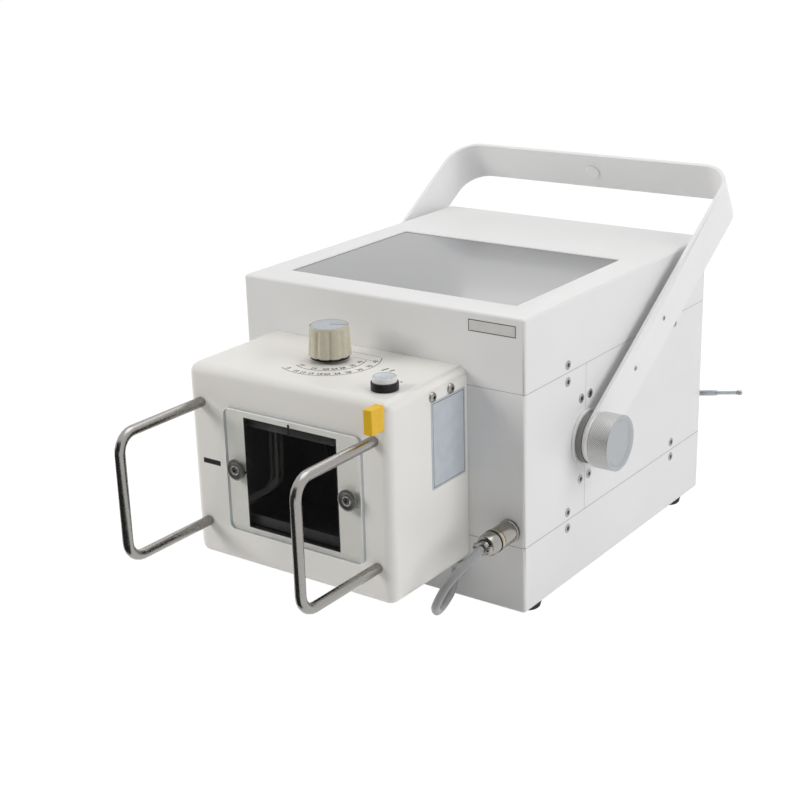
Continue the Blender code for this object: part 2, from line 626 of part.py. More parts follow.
def build_button(black, silver):
    """The lamp button: a black bezel ring and a pale cap standing in it."""
    location = (BUTTON_X, FRONT_Y - BUTTON_SETBACK, COLLIMATOR_TOP)
    inner = BUTTON_CAP_RADIUS + SEAT
    bezel = [(inner, SEAT), (BUTTON_BEZEL_RADIUS, SEAT),
             (BUTTON_BEZEL_RADIUS, BUTTON_BEZEL_HEIGHT - 0.6 * MM),
             (BUTTON_BEZEL_RADIUS - 0.6 * MM, BUTTON_BEZEL_HEIGHT), (inner, BUTTON_BEZEL_HEIGHT)]
    mesh_object("button_bezel", turned_bmesh(bezel, 32), black, location)
    top = BUTTON_BEZEL_HEIGHT + BUTTON_CAP_RISE
    cap = [(0, SEAT), (BUTTON_CAP_RADIUS, SEAT), (BUTTON_CAP_RADIUS, top - 1.2 * MM),
           (BUTTON_CAP_RADIUS - 0.5 * MM, top - 0.3 * MM), (BUTTON_CAP_RADIUS - 1.6 * MM, top), (0, top)]
    mesh_object("button_cap", turned_bmesh(cap, 32), silver, location)


def build_tape_tab(yellow):
    """The pull tab of the tape measure beside the right grab handle."""
    right = COLLIMATOR_X + COLLIMATOR_WIDTH / 2 - TAB_INSET
    back = COLLIMATOR_FRONT_Y - SEAT
    bm = box_bmesh((right - TAB_WIDTH, back - TAB_DEPTH, TAB_BOTTOM), (right, back, TAB_BOTTOM + TAB_HEIGHT))
    round_edges(bm, 0.8 * MM, 2, lambda edge: not lies_on(edge, 1, back))
    mesh_object("tape_tab", bm, yellow)


def build_cable(nickel, grey):
    """The collimator's cable, from its plug on the housing to the gland below the collimator."""
    location = (CONNECTOR_X, FRONT_Y, CONNECTOR_Z)
    radius = CONNECTOR_RADIUS
    back = -HOUSING_WALL - 8 * MM
    socket = [(0, back), (CONNECTOR_STEM_RADIUS, back), (CONNECTOR_STEM_RADIUS, SEAT), (radius, SEAT),
              (radius, CONNECTOR_FLANGE - 0.5 * MM), (radius - 0.5 * MM, CONNECTOR_FLANGE),
              (0, CONNECTOR_FLANGE)]
    mesh_object("connector_socket", facing_front(turned_bmesh(socket, 24)), nickel, location)

    start = CONNECTOR_FLANGE + SEAT
    plug = [(0, 0), (radius * 0.94, 0), (radius * 0.94, 12 * MM), (radius * 0.86, 12.6 * MM),
            (radius * 0.86, 13.4 * MM), (radius, 14 * MM), (radius, 17 * MM), (radius * 0.88, 17.6 * MM),
            (radius * 0.88, 27 * MM), (radius * 0.62, 30 * MM), (radius * 0.55, 30 * MM),
            (radius * 0.55, PLUG_LENGTH), (0, PLUG_LENGTH)]
    bm = facing_front(turned_bmesh(plug, 24))
    mesh_object("cable_plug", bm, nickel, (CONNECTOR_X, FRONT_Y - start, CONNECTOR_Z))

    gland = [(0, -GLAND_LENGTH), (GLAND_RADIUS * 0.8, -GLAND_LENGTH), (GLAND_RADIUS, -GLAND_LENGTH * 0.5),
             (GLAND_RADIUS, -SEAT), (0, -SEAT)]
    mesh_object("cable_gland", turned_bmesh(gland, 20), grey,
                (GLAND_X, FRONT_Y - GLAND_SETBACK, COLLIMATOR_BOTTOM))

    exit_y = FRONT_Y - start - PLUG_LENGTH - SEAT
    gland_end = Vector((GLAND_X, FRONT_Y - GLAND_SETBACK, COLLIMATOR_BOTTOM - GLAND_LENGTH - SEAT))
    route = [Vector((CONNECTOR_X, exit_y, CONNECTOR_Z)),
             Vector((CONNECTOR_X, exit_y - 4 * MM, CONNECTOR_Z - 0.5 * MM)),
             Vector((0.1169, -0.1961, 0.0639)), Vector((0.1163, -0.2018, 0.0616)),
             Vector((0.1140, -0.2085, 0.0574)), Vector((0.1104, -0.2133, 0.0523)),
             Vector((0.1065, -0.2161, 0.0461)), Vector((0.1019, -0.2166, 0.0382)),
             Vector((0.0957, -0.2138, 0.0281)), Vector((0.0886, -0.2061, 0.0186)),
             Vector((0.0802, -0.1918, 0.0077)), Vector((0.0757, -0.1783, 0.0046)),
             Vector((0.0740, -0.1659, 0.0082)), Vector((0.0732, -0.1596, 0.0133)),
             Vector((0.0727, -0.1565, 0.0182)), gland_end - Vector((0, 0, 5.6 * MM)),
             gland_end - Vector((0, 0, 2.5 * MM)), gland_end]
    tube_object("collimator_cable", smooth_route(route, 4), CABLE_RADIUS, grey, resolution=2)


def build_pivots(white, dark, aluminium):
    """On each side: a ring on the housing, a spacer, and the clamp knob on its stud."""
    knob_start = ARM_OUTER_X + SEAT - SIDE_X
    flange_end = knob_start + CLAMP_FLANGE_THICKNESS
    drum_start = flange_end + CLAMP_GROOVE_WIDTH
    knob_end = drum_start + CLAMP_KNOB_LENGTH
    edge = CLAMP_KNOB_EDGE
    face_radius = CLAMP_KNOB_RADIUS - CLAMP_FACE_RIM
    knob = [(0, SEAT), (PIVOT_STUD_RADIUS, SEAT), (PIVOT_STUD_RADIUS, knob_start),
            (CLAMP_FLANGE_RADIUS, knob_start), (CLAMP_FLANGE_RADIUS, flange_end),
            (CLAMP_GROOVE_RADIUS, flange_end), (CLAMP_GROOVE_RADIUS, drum_start),
            (CLAMP_KNOB_RADIUS - edge, drum_start), (CLAMP_KNOB_RADIUS, drum_start + edge),
            (CLAMP_KNOB_RADIUS, knob_end - edge), (CLAMP_KNOB_RADIUS - edge, knob_end),
            (face_radius, knob_end), (face_radius - CLAMP_FACE_DEPTH, knob_end - CLAMP_FACE_DEPTH),
            (0, knob_end - CLAMP_FACE_DEPTH)]
    ring = ring_profile(PIVOT_BORE_RADIUS, PIVOT_RING_RADIUS, SEAT, SEAT + PIVOT_RING_THICKNESS)
    spacer_start = RING_OUTER_X + SEAT - SIDE_X
    spacer = ring_profile(PIVOT_BORE_RADIUS, PIVOT_SPACER_RADIUS, spacer_start,
                          spacer_start + PIVOT_SPACER_THICKNESS)
    for word, side in (("left", -1), ("right", 1)):
        location = (side * SIDE_X, PIVOT_Y, PIVOT_Z)
        mesh_object(f"pivot_ring_{word}", facing_side(turned_bmesh(ring, 40), side), white, location)
        mesh_object(f"pivot_spacer_{word}", facing_side(turned_bmesh(spacer, 40), side), dark, location)
        mesh_object(f"clamp_knob_{word}", facing_side(turned_bmesh(knob, 40), side), aluminium, location)


def build_carrying_handle(white, grey):
    """The carrying handle: one flat strip bent to a U, hung on its pivots' axis."""
    axis = bpy.data.objects.new("handle_axis", None)
    place(axis, None, (0, PIVOT_Y, PIVOT_Z))
    axis.rotation_euler = (math.radians(-HANDLE_LEAN), 0, 0)

    outer_bend = HANDLE_BEND
    inner_bend = HANDLE_BEND - HANDLE_STRIP_THICKNESS
    half = HANDLE_STRIP_WIDTH / 2
    corner_x = ARM_OUTER_X - outer_bend
    corner_z = HANDLE_REACH - outer_bend
    outline = [(ARM_OUTER_X, -half), *arc((corner_x, corner_z), outer_bend, 0, 90, 8),
               *arc((-corner_x, corner_z), outer_bend, 90, 180, 8), (-ARM_OUTER_X, -half),
               (-ARM_INNER_X, -half), *arc((-corner_x, corner_z), inner_bend, 180, 90, 8),
               *arc((corner_x, corner_z), inner_bend, 90, 0, 8), (ARM_INNER_X, -half)]
    bm = slab_bmesh(outline, HANDLE_STRIP_WIDTH)
    bmesh.ops.translate(bm, vec=(0, -half, 0), verts=bm.verts)
    round_edges(bm, half * 0.98, 6, lambda edge: runs_along(edge, 0) and lies_on(edge, 2, -half))
    handle = mesh_object("carrying_handle", bm, white, parent=axis)
    past = ARM_OUTER_X + 20 * MM
    bore = turned_bmesh([(0, past), (PIVOT_BORE_RADIUS, past), (PIVOT_BORE_RADIUS, -past), (0, -past)], 24)
    cutter = cut(handle, facing_side(bore, 1), name="pivot_bore")
    cutter.parent = axis

    cap_z = HANDLE_REACH - HANDLE_STRIP_THICKNESS - SEAT
    cap = [(0, cap_z - 0.8 * MM), (HANDLE_CAP_RADIUS - 0.4 * MM, cap_z - 0.8 * MM),
           (HANDLE_CAP_RADIUS, cap_z - 0.4 * MM), (HANDLE_CAP_RADIUS, cap_z), (0, cap_z)]
    mesh_object("handle_cap", turned_bmesh(cap, 24), grey, parent=axis)


def build_antenna(nickel, grey):
    """The telescopic antenna: it swings on a pin on the back, and its rod slides out."""
    boss_end = ANTENNA_FLANGE_THICKNESS + ANTENNA_BOSS_LENGTH
    knuckle_start = boss_end + SEAT
    head_start = knuckle_start + ANTENNA_KNUCKLE_THICKNESS + SEAT
    base = [(0, SEAT), (ANTENNA_FLANGE_RADIUS, SEAT), (ANTENNA_FLANGE_RADIUS, ANTENNA_FLANGE_THICKNESS),
            (ANTENNA_BOSS_RADIUS, ANTENNA_FLANGE_THICKNESS), (ANTENNA_BOSS_RADIUS, boss_end),
            (ANTENNA_PIN_RADIUS, boss_end), (ANTENNA_PIN_RADIUS, head_start),
            (ANTENNA_HEAD_RADIUS, head_start), (ANTENNA_HEAD_RADIUS, head_start + ANTENNA_HEAD_THICKNESS),
            (0, head_start + ANTENNA_HEAD_THICKNESS)]
    mesh_object("antenna_base", facing_back(turned_bmesh(base, 24)), nickel, (ANTENNA_X, REAR_Y, ANTENNA_Z))

    middle = knuckle_start + ANTENNA_KNUCKLE_THICKNESS / 2
    axis = bpy.data.objects.new("antenna_axis", None)
    place(axis, None, (ANTENNA_X, REAR_Y + middle, ANTENNA_Z))
    axis.rotation_euler = (0, math.radians(-ANTENNA_TILT), 0)

    half = ANTENNA_KNUCKLE_THICKNESS / 2
    root = ANTENNA_KNUCKLE_RADIUS * 0.7
    mast = [(0, root), (ANTENNA_MAST_RADIUS, root), (ANTENNA_MAST_RADIUS, ANTENNA_MAST_LENGTH - 1 * MM),
            (ANTENNA_MAST_RADIUS - 0.4 * MM, ANTENNA_MAST_LENGTH), (0, ANTENNA_MAST_LENGTH)]
    mast_object = mesh_object("antenna_mast", facing_side(turned_bmesh(mast, 20), 1), grey, parent=axis)
    knuckle = turned_bmesh([(0, -half), (ANTENNA_KNUCKLE_RADIUS, -half), (ANTENNA_KNUCKLE_RADIUS, half),
                            (0, half)], 24)
    knuckle_object = mesh_object("knuckle", facing_back(knuckle), None, parent=axis)
    knuckle_object.display_type = "WIRE"
    knuckle_object.hide_render = True
    union = mast_object.modifiers.new("knuckle", "BOOLEAN")
    union.operation = "UNION"
    union.solver = "EXACT"
    union.object = knuckle_object
    pin_bore = ANTENNA_PIN_RADIUS + ANTENNA_BORE_CLEARANCE
    cutter = cut(mast_object, facing_back(turned_bmesh(
        [(0, -2 * half), (pin_bore, -2 * half), (pin_bore, 2 * half), (0, 2 * half)], 20)), name="pin_bore")
    cutter.parent = axis
    bore = ANTENNA_ROD_RADIUS + ANTENNA_BORE_CLEARANCE
    bore_start = ANTENNA_MAST_LENGTH - ANTENNA_BORE_LENGTH
    cutter = cut(mast_object, facing_side(turned_bmesh(
        [(0, bore_start), (bore, bore_start), (bore, ANTENNA_MAST_LENGTH + 5 * MM),
         (0, ANTENNA_MAST_LENGTH + 5 * MM)], 20), 1), name="rod_bore")
    cutter.parent = axis

    rod_start = bore_start + 1 * MM
    rod_end = ANTENNA_MAST_LENGTH + ANTENNA_ROD_SHOWS
    rod = [(0, rod_start), (ANTENNA_ROD_RADIUS, rod_start), (ANTENNA_ROD_RADIUS, rod_end), (0, rod_end)]
    mesh_object("antenna_rod", facing_side(turned_bmesh(rod, 20), 1), grey, parent=axis)
    tip_end = rod_end + SEAT + ANTENNA_TIP_LENGTH
    tip = [(0, rod_end + SEAT), (ANTENNA_ROD_RADIUS, rod_end + SEAT),
           (ANTENNA_TIP_RADIUS, rod_end + 1 * MM), (ANTENNA_TIP_RADIUS, tip_end - 0.8 * MM),
           (ANTENNA_TIP_RADIUS * 0.6, tip_end), (0, tip_end)]
    mesh_object("antenna_tip", facing_side(turned_bmesh(tip, 20), 1), nickel, parent=axis)


def build_back(black, nickel):
    """The power inlet, the rocker switch and the hand switch's socket on the back."""
    inlet_low = Vector((-INLET_WIDTH / 2, SEAT, -INLET_HEIGHT / 2))
    inlet_high = Vector((INLET_WIDTH / 2, INLET_FLANGE, INLET_HEIGHT / 2))
    bm = box_bmesh(inlet_low, inlet_high)
    inlet = mesh_object("power_inlet", bm, black, (INLET_X, REAR_Y, INLET_Z))
    body = Vector((INLET_WIDTH / 2 - INLET_FLANGE / 2 - SEAT, 0, INLET_HEIGHT / 2 - INLET_FLANGE / 2 - SEAT))
    body_object = mesh_object("inlet_body", box_bmesh(-body - Vector((0, INLET_DEPTH, 0)),
                                                      body + Vector((0, 2 * SEAT, 0))),
                              None, (INLET_X, REAR_Y, INLET_Z))
    body_object.display_type = "WIRE"
    body_object.hide_render = True
    union = inlet.modifiers.new("body", "BOOLEAN")
    union.operation = "UNION"
    union.solver = "EXACT"
    union.object = body_object
    outline = rounded_rectangle(INLET_CAVITY_WIDTH, INLET_CAVITY_HEIGHT, 2 * MM, 2)
    cut(inlet, slab_bmesh(outline, INLET_CAVITY_DEPTH + 5 * MM),
        (INLET_X, REAR_Y + INLET_FLANGE - INLET_CAVITY_DEPTH, INLET_Z), "inlet_cavity")

    half = Vector((SWITCH_WIDTH / 2, 0, SWITCH_HEIGHT / 2))
    frame = mesh_object("switch_frame", box_bmesh(-half + Vector((0, SEAT, 0)), half + Vector((0, SWITCH_RIM, 0))),
                        black, (SWITCH_X, REAR_Y, SWITCH_Z))
    bar = Vector((SWITCH_FRAME_BAR, 0, SWITCH_FRAME_BAR))
    cut(frame, box_bmesh(-half + bar - Vector((0, 5 * MM, 0)), half - bar + Vector((0, 5 * MM, 0))),
        (SWITCH_X, REAR_Y, SWITCH_Z), "rocker_hole")
    rocker_half = half - bar - Vector((SEAT, 0, SEAT))
    outline = [(-SWITCH_RIM * 3, -rocker_half.z), (SWITCH_RIM * 2, -rocker_half.z),
               (SWITCH_RIM * 1.1, 0), (SWITCH_RIM * 1.2, rocker_half.z), (-SWITCH_RIM * 3, rocker_half.z)]
    bm = slab_bmesh(outline, rocker_half.x * 2)
    turn(bm, "Z", 90)
    bmesh.ops.translate(bm, vec=(rocker_half.x, 0, 0), verts=bm.verts)
    mesh_object("switch_rocker", bm, black, (SWITCH_X, REAR_Y, SWITCH_Z))

    wall = HAND_SOCKET_BORE + 1.5 * MM
    back = -HOUSING_WALL - HAND_SOCKET_BORE_DEPTH
    socket = [(0, back), (wall, back), (wall, SEAT), (HAND_SOCKET_RADIUS, SEAT),
              (HAND_SOCKET_RADIUS, 2 * MM), (HAND_SOCKET_RADIUS - 0.6 * MM, 2.6 * MM),
              (HAND_SOCKET_BORE, 2.6 * MM), (HAND_SOCKET_BORE, 2.6 * MM - HAND_SOCKET_BORE_DEPTH),
              (0, 2.6 * MM - HAND_SOCKET_BORE_DEPTH)]
    mesh_object("hand_switch_socket", facing_back(turned_bmesh(socket, 24)), nickel,
                (HAND_SOCKET_X, REAR_Y, HAND_SOCKET_Z))


def build():
    """Model the whole machine."""
    clear_scene()
    white = material("white_powder_coat", (0.86, 0.86, 0.85), 0.45)
    cream = material("cream_paint", (0.86, 0.85, 0.82), 0.4)
    grey_glass = material("screen_glass", (0.42, 0.43, 0.44), 0.08)
    display = material("display_panel", (0.25, 0.26, 0.27), 0.3)
    clear = material("clear_window", (0.85, 0.87, 0.88), 0.05)
    black = material("black_plastic", (0.02, 0.02, 0.022), 0.5)
    liner = material("light_box_black", (0.015, 0.015, 0.017), 0.6)
    rubber = material("black_rubber", (0.03, 0.03, 0.03), 0.8)
    lead = material("tube_head_grey", (0.35, 0.36, 0.37), 0.5, 0.6)
    stainless = material("brushed_stainless", (0.62, 0.61, 0.59), 0.28, 1.0)
    dark_steel = material("dark_steel", (0.25, 0.24, 0.23), 0.35, 1.0)
    aluminium = material("knurled_aluminium", (0.78, 0.79, 0.8), 0.35, 1.0)
    nickel = material("nickel_plate", (0.68, 0.66, 0.62), 0.2, 1.0)
    beige = material("beige_knob", (0.62, 0.59, 0.48), 0.45)
    blue_grey = material("blue_grey_cap", (0.46, 0.51, 0.56), 0.45)
    silver = material("silver_cap", (0.75, 0.77, 0.8), 0.3, 0.3)
    yellow = material("yellow_tab", (0.82, 0.55, 0.03), 0.4)
    cable_grey = material("grey_cable", (0.3, 0.33, 0.34), 0.5)
    spacer_grey = material("grey_spacer", (0.2, 0.2, 0.2), 0.6)

    build_base_tray(white)
    build_middle_band(white)
    build_lid(white, grey_glass, display)
    build_feet(rubber)
    build_tube_head(lead)
    build_collimator(cream, liner, clear, dark_steel)
    build_grab_handles(stainless)
    build_field_knob(beige, blue_grey)
    build_button(black, silver)
    build_tape_tab(yellow)
    build_cable(nickel, cable_grey)
    build_pivots(white, spacer_grey, aluminium)
    build_carrying_handle(white, spacer_grey)
    build_antenna(nickel, cable_grey)
    build_back(black, nickel)


build()
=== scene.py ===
# %% [markdown]
# # A portable X-ray machine
# The machine is a white box with a touch screen in its lid. A collimator with a clear window stands
# on its front between two grab handles, a carrying handle swings on two clamp knobs, and a short cable
# joins the box and the collimator. The CAD model gives every solid at its true size, and this lesson
# adds the camera, the light, the finishes and the small parts. Everything is in metres, with +Z up and
# the front looking along -Y.

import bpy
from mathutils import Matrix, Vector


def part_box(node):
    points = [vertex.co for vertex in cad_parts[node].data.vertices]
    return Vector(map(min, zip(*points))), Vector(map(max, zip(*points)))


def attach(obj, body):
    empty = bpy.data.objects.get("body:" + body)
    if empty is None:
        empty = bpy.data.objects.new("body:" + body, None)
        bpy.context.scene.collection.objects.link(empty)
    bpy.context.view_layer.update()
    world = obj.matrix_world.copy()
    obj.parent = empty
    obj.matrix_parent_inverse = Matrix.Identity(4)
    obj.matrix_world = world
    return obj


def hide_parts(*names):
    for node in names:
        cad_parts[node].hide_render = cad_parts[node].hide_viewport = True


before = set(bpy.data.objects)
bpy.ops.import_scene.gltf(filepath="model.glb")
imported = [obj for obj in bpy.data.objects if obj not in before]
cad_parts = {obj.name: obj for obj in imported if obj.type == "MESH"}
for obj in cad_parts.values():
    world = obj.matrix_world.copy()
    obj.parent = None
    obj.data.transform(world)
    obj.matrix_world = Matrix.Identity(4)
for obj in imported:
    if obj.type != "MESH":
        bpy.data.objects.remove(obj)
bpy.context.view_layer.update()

# %% Blender's modules and the places that many steps use
import math

import bpy
from mathutils import Matrix, Vector

MM = 0.001
FRONT_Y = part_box("middle_front_cover")[0].y
SIDE_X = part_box("middle_front_cover")[1].x
REAR_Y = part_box("middle_rear_cover")[1].y
COLLIMATOR_LOW, COLLIMATOR_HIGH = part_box("collimator_housing")
print(f"front at {FRONT_Y:.4f} m, side at {SIDE_X:.4f} m, collimator's top at {COLLIMATOR_HIGH.z:.4f} m")

# %% [markdown]
# ## Camera
# The photograph was taken from the front right, a little above the lid, with a moderately long lens.
# The corners of the box give the camera's place, so it is written down here and not aimed by eye.
# The small roll comes from the camera having been held a little askew.

# %% The camera
FOCAL_PIXELS = 1529.2
IMAGE_PIXELS = 800
CAMERA_PLACE = Vector((0.6633, -1.0317, 0.5294))
AZIMUTH, ELEVATION, ROLL = (math.radians(angle) for angle in (36.07, 19.14, -1.61))

camera_data = bpy.data.cameras.new("camera")
camera_data.sensor_width = 36
camera_data.lens = FOCAL_PIXELS * camera_data.sensor_width / IMAGE_PIXELS
level_right = Vector((math.cos(AZIMUTH), math.sin(AZIMUTH), 0))
back = Vector((math.sin(AZIMUTH) * math.cos(ELEVATION), -math.cos(AZIMUTH) * math.cos(ELEVATION),
               math.sin(ELEVATION)))
level_up = back.cross(level_right)
right = math.cos(ROLL) * level_right + math.sin(ROLL) * level_up
up = math.cos(ROLL) * level_up - math.sin(ROLL) * level_right
camera = bpy.data.objects.new("camera", camera_data)
camera.matrix_world = Matrix.Translation(CAMERA_PLACE) @ Matrix((right, up, back)).transposed().to_4x4()
bpy.context.scene.collection.objects.link(camera)
bpy.context.scene.camera = camera
bpy.context.scene.view_settings.view_transform = "Standard"
print(f"lens {camera_data.lens:.2f} mm")

# %% [markdown]
# ## Helpers for finishes
# A finish is a small node tree round one Principled shader. Nearly all of them need the same three
# things: a noise at the scale of the real surface, a slight spread of roughness, and a shallow bump.
# One helper makes that tree, and each finish then adds what is its own.

# %% A helper that starts a material
def new_finish(name, colour, roughness, metallic=0.0):
    """A Principled material, with its tree and its shader node."""
    finish = bpy.data.materials.new(name)
    finish.use_nodes = True
    finish.diffuse_color = (*colour, 1)
    shader = finish.node_tree.nodes["Principled BSDF"]
    shader.inputs["Base Color"].default_value = (*colour, 1)
    shader.inputs["Roughness"].default_value = roughness
    shader.inputs["Metallic"].default_value = metallic
    return finish, finish.node_tree, shader


def object_noise(tree, scale, detail=2.0, stretch=(1, 1, 1)):
    """A noise on Object coordinates. scale is in cells for each metre."""
    place = tree.nodes.new("ShaderNodeTexCoord")
    mapping = tree.nodes.new("ShaderNodeMapping")
    mapping.inputs["Scale"].default_value = stretch
    noise = tree.nodes.new("ShaderNodeTexNoise")
    noise.inputs["Scale"].default_value = scale
    noise.inputs["Detail"].default_value = detail
    tree.links.new(place.outputs["Object"], mapping.inputs["Vector"])
    tree.links.new(mapping.outputs["Vector"], noise.inputs["Vector"])
    return noise


# %% Helpers that turn a noise into roughness, tone and bump
def vary_roughness(tree, shader, noise, low, high):
    """Spread the roughness between two values with a noise."""
    spread = tree.nodes.new("ShaderNodeMapRange")
    spread.inputs["From Min"].default_value = 0.3
    spread.inputs["From Max"].default_value = 0.7
    spread.inputs["To Min"].default_value = low
    spread.inputs["To Max"].default_value = high
    tree.links.new(noise.outputs["Fac"], spread.inputs["Value"])
    tree.links.new(spread.outputs["Result"], shader.inputs["Roughness"])


def vary_tone(tree, shader, noise, dark, light):
    """Let a noise move the base colour between two near tones."""
    ramp = tree.nodes.new("ShaderNodeValToRGB")
    ramp.color_ramp.elements[0].position = 0.35
    ramp.color_ramp.elements[0].color = (*dark, 1)
    ramp.color_ramp.elements[1].position = 0.65
    ramp.color_ramp.elements[1].color = (*light, 1)
    tree.links.new(noise.outputs["Fac"], ramp.inputs["Fac"])
    tree.links.new(ramp.outputs["Color"], shader.inputs["Base Color"])


def add_bump(tree, shader, height, strength, distance):
    """Bump from the first output of a texture. distance is the real depth in metres."""
    bump = tree.nodes.new("ShaderNodeBump")
    bump.inputs["Strength"].default_value = strength
    bump.inputs["Distance"].default_value = distance
    tree.links.new(height, bump.inputs["Height"])
    tree.links.new(bump.outputs["Normal"], shader.inputs["Normal"])


# %% [markdown]
# ## Paint, metal, rubber and plastic
# The box and the carrying handle have a smooth powder coat. Close up it shows a faint orange peel,
# about a millimetre from crest to crest, and its tone is hardly ever even. The collimator is painted
# in a warmer white. The bars are stainless steel, polished along their length.

# %% Powder coat and paint
def painted(name, colour, roughness, peel=0.35):
    """Powder coat or paint: orange peel, a little spread of gloss and of tone."""
    finish, tree, shader = new_finish(name, colour, roughness)
    darker = tuple(channel * 0.985 for channel in colour)
    vary_tone(tree, shader, object_noise(tree, 14, 3), darker, colour)
    vary_roughness(tree, shader, object_noise(tree, 60), roughness - 0.05, roughness + 0.05)
    add_bump(tree, shader, object_noise(tree, 900, 1).outputs["Fac"], peel, 0.00004)
    return finish


housing_white = painted("white powder coat", (0.86, 0.86, 0.86), 0.42)
handle_white = painted("white handle coat", (0.90, 0.90, 0.90), 0.4)
collimator_white = painted("cream paint", (0.885, 0.87, 0.835), 0.38, 0.2)
print("paints made")


# %% Metals
def metal(name, colour, low, high, scale=500, stretch=(1, 1, 1), depth=0.00001):
    """Bare metal with fine marks. A stretch makes the marks run along one axis."""
    finish, tree, shader = new_finish(name, colour, low, 1.0)
    marks = object_noise(tree, scale, 4, stretch)
    vary_roughness(tree, shader, marks, low, high)
    add_bump(tree, shader, marks.outputs["Fac"], 0.3, depth)
    return finish


stainless = metal("stainless bar", (0.34, 0.33, 0.315), 0.2, 0.3, 300, (1, 1, 1), 0.0000015)
dark_steel = metal("dark turned steel", (0.36, 0.35, 0.33), 0.34, 0.48)
screw_steel = metal("screw steel", (0.40, 0.40, 0.39), 0.25, 0.4)
nickel = metal("nickel plate", (0.36, 0.345, 0.32), 0.18, 0.3, 500, (1, 1, 1), 0.000003)
turned_aluminium = metal("turned aluminium", (0.42, 0.435, 0.45), 0.26, 0.36, 700)
knurled_aluminium = metal("knurled aluminium", (0.74, 0.74, 0.735), 0.36, 0.48, 700)
antenna_metal = metal("antenna tube", (0.50, 0.53, 0.55), 0.3, 0.42, 900)
brass = metal("gilt ring", (0.55, 0.45, 0.30), 0.2, 0.3)
casting = metal("tube head casting", (0.35, 0.36, 0.37), 0.5, 0.65, 300)
print("metals made")


# %% Rubber and plastic
def moulded(name, colour, roughness, scale=700, depth=0.00003, spread=0.93):
    """Moulded plastic or rubber with a fine grain."""
    finish, tree, shader = new_finish(name, colour, roughness)
    grain = object_noise(tree, scale, 3)
    darker = tuple(channel * spread for channel in colour)
    vary_tone(tree, shader, object_noise(tree, 120, 2), darker, colour)
    vary_roughness(tree, shader, grain, roughness - 0.06, roughness + 0.06)
    add_bump(tree, shader, grain.outputs["Fac"], 0.3, depth)
    return finish


rubber = moulded("black rubber", (0.022, 0.022, 0.024), 0.75, 1200, 0.00008)
black_plastic = moulded("black plastic", (0.008, 0.008, 0.009), 0.4)
black_plastic.node_tree.nodes["Principled BSDF"].inputs["Specular IOR Level"].default_value = 0.3
liner_black = moulded("black liner", (0.032, 0.032, 0.035), 0.6, 200, 0.00001)
knob_beige = moulded("beige knob", (0.62, 0.58, 0.46), 0.24)
cap_blue_grey = moulded("blue grey cap", (0.46, 0.50, 0.545), 0.36)
button_disc = moulded("button disc", (0.60, 0.64, 0.70), 0.24)
button_white = moulded("button rim", (0.80, 0.80, 0.79), 0.22)
seam_grey = moulded("button seam", (0.16, 0.16, 0.17), 0.5)
seam_shade = moulded("seam shade", (0.38, 0.38, 0.38), 0.8)
# Darker steel for the knurl's pits and groove, as painted shade
pit_shade = metal("knurl pits painted shade", (0.34, 0.34, 0.34), 0.5, 0.6, 700)
tab_yellow = moulded("yellow tab", (0.88, 0.53, 0.008), 0.36)
cable_grey = moulded("cable jacket", (0.335, 0.34, 0.345), 0.42, 500, 0.00005)
gland_grey_painted_light = moulded("gland grey painted light", (0.5, 0.5, 0.49), 0.5)
spacer_grey = moulded("grey spacer", (0.24, 0.23, 0.22), 0.55)
cap_grey = moulded("pale handle cap", (0.93, 0.93, 0.93), 0.4, 700, 0.00001, 0.97)
# Black for print, and for painted shade in the screw sockets and the plug's grooves
ink_and_shade_black = moulded("black ink and painted shade", (0.016, 0.016, 0.018), 0.5)
plate_silver = moulded("silver plate", (0.56, 0.60, 0.65), 0.35)
label_white = moulded("label film", (0.72, 0.72, 0.71), 0.3)
shutter_grey = moulded("shutter grey", (0.05, 0.05, 0.052), 0.5)
print("plastics made")

# %% [markdown]
# ## Screen and window
# The touch screen is off: a grey film under glass, which mirrors the room softly. The collimator's
# window is clear acrylic. A sheet that thin hardly bends light, so it is a transparent shader mixed
# with a mirror by Fresnel. That keeps the paint behind it as bright as the paint round it. On the
# sheet's inside the index is turned round, because a ray that leaves it unbent isn't trapped either.

# %% Screen glass and clear window
screen_grey, screen_tree, screen_shader = new_finish("screen film", (0.235, 0.24, 0.25), 0.16)
screen_shader.inputs["Coat Weight"].default_value = 0.35
screen_shader.inputs["Coat Roughness"].default_value = 0.06
vary_tone(screen_tree, screen_shader, object_noise(screen_tree, 6, 1), (0.205, 0.21, 0.22),
          (0.22, 0.225, 0.232))
vary_roughness(screen_tree, screen_shader, object_noise(screen_tree, 250), 0.13, 0.2)

display_dark, display_tree, display_shader = new_finish("display panel", (0.2, 0.21, 0.22), 0.3)
vary_roughness(display_tree, display_shader, object_noise(display_tree, 200), 0.25, 0.35)

window_clear = bpy.data.materials.new("clear window")
window_clear.use_nodes = True
window_tree = window_clear.node_tree
window_tree.nodes.clear()
clear = window_tree.nodes.new("ShaderNodeBsdfTransparent")
clear.inputs["Color"].default_value = (0.985, 0.99, 0.985, 1)
mirror = window_tree.nodes.new("ShaderNodeBsdfGlossy")
mirror.inputs["Roughness"].default_value = 0.02
fresnel = window_tree.nodes.new("ShaderNodeFresnel")
sheet_side = window_tree.nodes.new("ShaderNodeNewGeometry")
sheet_index = window_tree.nodes.new("ShaderNodeMapRange")
sheet_index.inputs["To Min"].default_value = 1.49
sheet_index.inputs["To Max"].default_value = 1 / 1.49
window_tree.links.new(sheet_side.outputs["Backfacing"], sheet_index.inputs["Value"])
window_tree.links.new(sheet_index.outputs["Result"], fresnel.inputs["IOR"])
window_mix = window_tree.nodes.new("ShaderNodeMixShader")
window_out = window_tree.nodes.new("ShaderNodeOutputMaterial")
window_tree.links.new(fresnel.outputs["Fac"], window_mix.inputs["Fac"])
window_tree.links.new(clear.outputs["BSDF"], window_mix.inputs[1])
window_tree.links.new(mirror.outputs["BSDF"], window_mix.inputs[2])
window_tree.links.new(window_mix.outputs["Shader"], window_out.inputs["Surface"])
